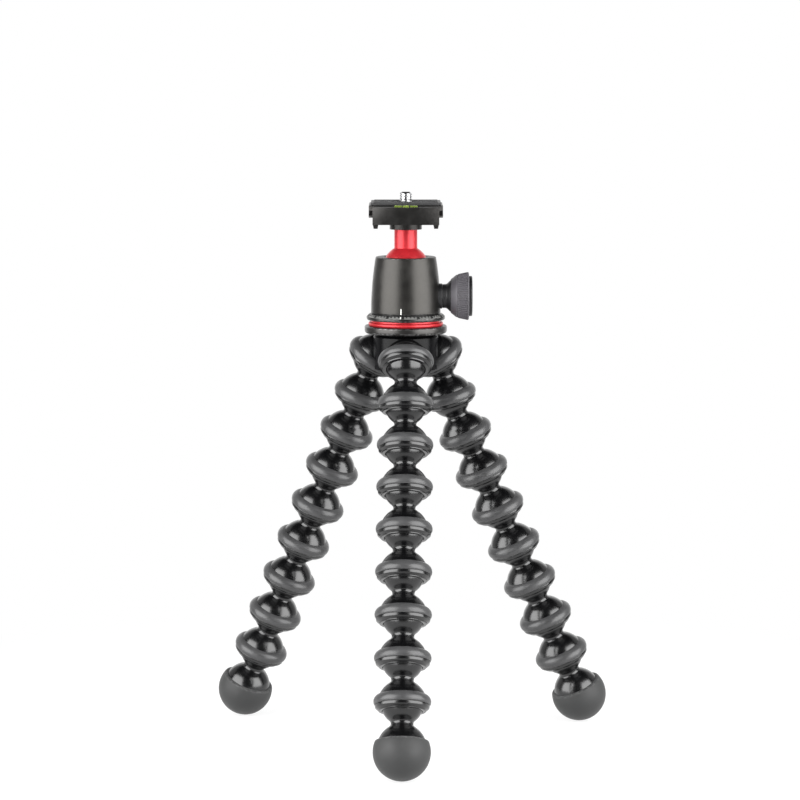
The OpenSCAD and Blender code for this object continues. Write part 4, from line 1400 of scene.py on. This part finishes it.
class TRIPOD_OT_stage(TripodOperator):
    """Makes the floor, the light and the camera."""

    bl_idname = "tripod.stage"
    bl_label = "Floor, light and camera"

    def execute(self, context):
        self.floor()
        self.world(context.scene)
        self.lamps()
        self.camera(context.scene)
        context.scene.view_settings.view_transform = "Standard"
        return {"FINISHED"}

    def seen(self, tree):
        """1 for rays that show the background: camera, glossy and see-through ones."""
        path = add(tree, "ShaderNodeLightPath")
        mirrored = calc(tree, "ADD", out(path, "Is Glossy Ray"), out(path, "Is Transmission Ray"))
        return out(path, "Is Camera Ray"), calc(tree, "MINIMUM", mirrored, 1.0)

    def floor(self):
        """Pale floor that keeps the shadow near the feet and runs out into white."""
        reach = 0.42
        sides = 96
        sink = 0.2 * MM
        work = bmesh.new()
        bmesh.ops.create_circle(work, cap_ends=True, segments=sides, radius=reach)
        mesh = bpy.data.meshes.new("floor")
        work.to_mesh(mesh)
        work.free()
        mesh.transform(Matrix.Translation(HEAD_AXIS - Vector((0.0, 0.0, sink))))
        material = bpy.data.materials.new("floor_white")
        tree = emptied(material)
        where = out(add(tree, "ShaderNodeTexCoord"), "Object")
        distance = add(tree, "ShaderNodeVectorMath", {"operation": "DISTANCE"}, {0: where, 1: HEAD_AXIS})
        fade_from = 0.14
        fade_to = 0.36
        fade = add(tree, "ShaderNodeMapRange", {"interpolation_type": "SMOOTHSTEP"}, {
            "Value": out(distance, "Value"), "From Min": fade_from, "From Max": fade_to})
        shade_share = 0.2
        glow_share = 0.84
        paper = 0.35
        shadowed = add(tree, "ShaderNodeBsdfDiffuse", None, {"Color": grey(shade_share)})
        glow = add(tree, "ShaderNodeEmission", None, {"Strength": glow_share})
        near = add(tree, "ShaderNodeAddShader", None, {0: out(shadowed), 1: out(glow)})
        white = add(tree, "ShaderNodeEmission", None, {"Strength": 1.0})
        shown = add(tree, "ShaderNodeMixShader", None, {0: out(fade), 1: out(near), 2: out(white)})
        plain = add(tree, "ShaderNodeBsdfDiffuse", None, {"Color": grey(paper)})
        camera, mirrored = self.seen(tree)
        both = calc(tree, "MINIMUM", calc(tree, "ADD", camera, mirrored), 1.0)
        mixed = add(tree, "ShaderNodeMixShader", None, {0: both, 1: out(plain), 2: out(shown)})
        add(tree, "ShaderNodeOutputMaterial", None, {"Surface": out(mixed)})
        mesh.materials.append(material)
        obj = linked("floor", mesh)

    def world(self, scene):
        """White behind the object, dim in front, and a soft grey fill."""
        fill = 0.42
        dim = 0.008
        world = bpy.data.worlds.new("studio")
        scene.world = world
        tree = emptied(world)
        behind_from = 0.66
        behind_to = 0.90
        where = out(add(tree, "ShaderNodeTexCoord"), "Generated")
        parts = add(tree, "ShaderNodeSeparateXYZ", None, {0: where})
        behind = add(tree, "ShaderNodeMapRange", {"interpolation_type": "SMOOTHSTEP"}, {
            "Value": out(parts, "Y"), "From Min": behind_from, "From Max": behind_to, "To Min": dim,
            "To Max": 1.0})
        camera, mirrored = self.seen(tree)
        level = add(tree, "ShaderNodeMix", {"data_type": "FLOAT"}, {
            0: mirrored, LEVEL_A: fill, LEVEL_B: out(behind)})
        shown = add(tree, "ShaderNodeMix", {"data_type": "FLOAT"}, {
            0: camera, LEVEL_A: out(level), LEVEL_B: 1.0})
        background = add(tree, "ShaderNodeBackground", None, {"Color": grey(1.0), "Strength": out(shown)})
        add(tree, "ShaderNodeOutputWorld", None, {"Surface": out(background)})

    def lamps(self):
        """Two large soft boxes in front with a dark gap between them, and two weak ones behind."""
        lamp_z = 0.475
        target = HEAD_AXIS + Vector((0.0, 0.0, lamp_z))
        front = math.radians(57)
        rear = math.radians(138)
        distance = 0.95
        wide = 1.14
        tall = 1.15
        radiance = 6.2
        rear_radiance = 0.5
        boxes = (("soft_box_left", -front, radiance), ("soft_box_right", front, radiance),
                 ("rear_box_left", -rear, rear_radiance), ("rear_box_right", rear, rear_radiance))
        for name, aside, strength in boxes:
            data = bpy.data.lights.new(name, "AREA")
            data.shape = "RECTANGLE"
            data.size = wide
            data.size_y = tall
            data.energy = strength * math.pi * wide * tall
            obj = linked(name, data)
            towards = Vector((math.sin(aside), -math.cos(aside), 0.0))
            obj.location = target + distance * towards
            obj.rotation_euler = (-towards).to_track_quat("-Z", "Y").to_euler()
            obj.visible_camera = False

    def camera(self, scene):
        """Camera at the photograph's angle."""
        elevation = math.radians(6.80)
        distance = 1.650
        aim_left = 3.0 * MM
        aim_z = 177.76 * MM
        data = bpy.data.cameras.new("camera")
        data.lens = 142.8
        data.sensor_width = 36.0
        data.sensor_fit = "HORIZONTAL"
        obj = linked("camera", data)
        target = HEAD_AXIS + Vector((-aim_left, 0.0, aim_z))
        back = Vector((0.0, -math.cos(elevation), math.sin(elevation)))
        obj.location = target + distance * back
        obj.rotation_euler = (-back).to_track_quat("-Z", "Y").to_euler()
        scene.camera = obj


OPERATORS = (
    TRIPOD_OT_leg_links, TRIPOD_OT_feet, TRIPOD_OT_hub, TRIPOD_OT_pan_stack, TRIPOD_OT_housing,
    TRIPOD_OT_lock_knob, TRIPOD_OT_ball_stem, TRIPOD_OT_clamp, TRIPOD_OT_camera_plate,
    TRIPOD_OT_inner_parts, TRIPOD_OT_stage)
GROUPS = {"tripod_legs": LegSizes, "tripod_head": HeadSizes, "tripod_finishes": Finishes}


class TRIPOD_PT_panel(bpy.types.Panel):
    """Lists the tripod's operators, sizes and colours."""

    bl_label = "Flexible leg tripod"
    bl_space_type = "VIEW_3D"
    bl_region_type = "UI"
    bl_category = "Tripod"

    def draw(self, context):
        for operator in OPERATORS:
            self.layout.operator(operator.bl_idname)
        for name, group in GROUPS.items():
            box = self.layout.box()
            for key in group.__annotations__:
                box.prop(getattr(context.scene, name), key)


CLASSES = (*GROUPS.values(), *OPERATORS, TRIPOD_PT_panel)


def register():
    for item in CLASSES:
        bpy.utils.register_class(item)
    for name, group in GROUPS.items():
        setattr(bpy.types.Scene, name, PointerProperty(type=group))


def unregister():
    for name in GROUPS:
        delattr(bpy.types.Scene, name)
    for item in reversed(CLASSES):
        bpy.utils.unregister_class(item)


def main():
    register()
    bpy.ops.tripod.leg_links()
    bpy.ops.tripod.feet()
    bpy.ops.tripod.hub()
    bpy.ops.tripod.pan_stack()
    bpy.ops.tripod.housing()
    bpy.ops.tripod.lock_knob()
    bpy.ops.tripod.ball_stem()
    bpy.ops.tripod.clamp()
    bpy.ops.tripod.camera_plate()
    bpy.ops.tripod.inner_parts()
    bpy.ops.tripod.stage()


if __name__ == "__main__":
    main()
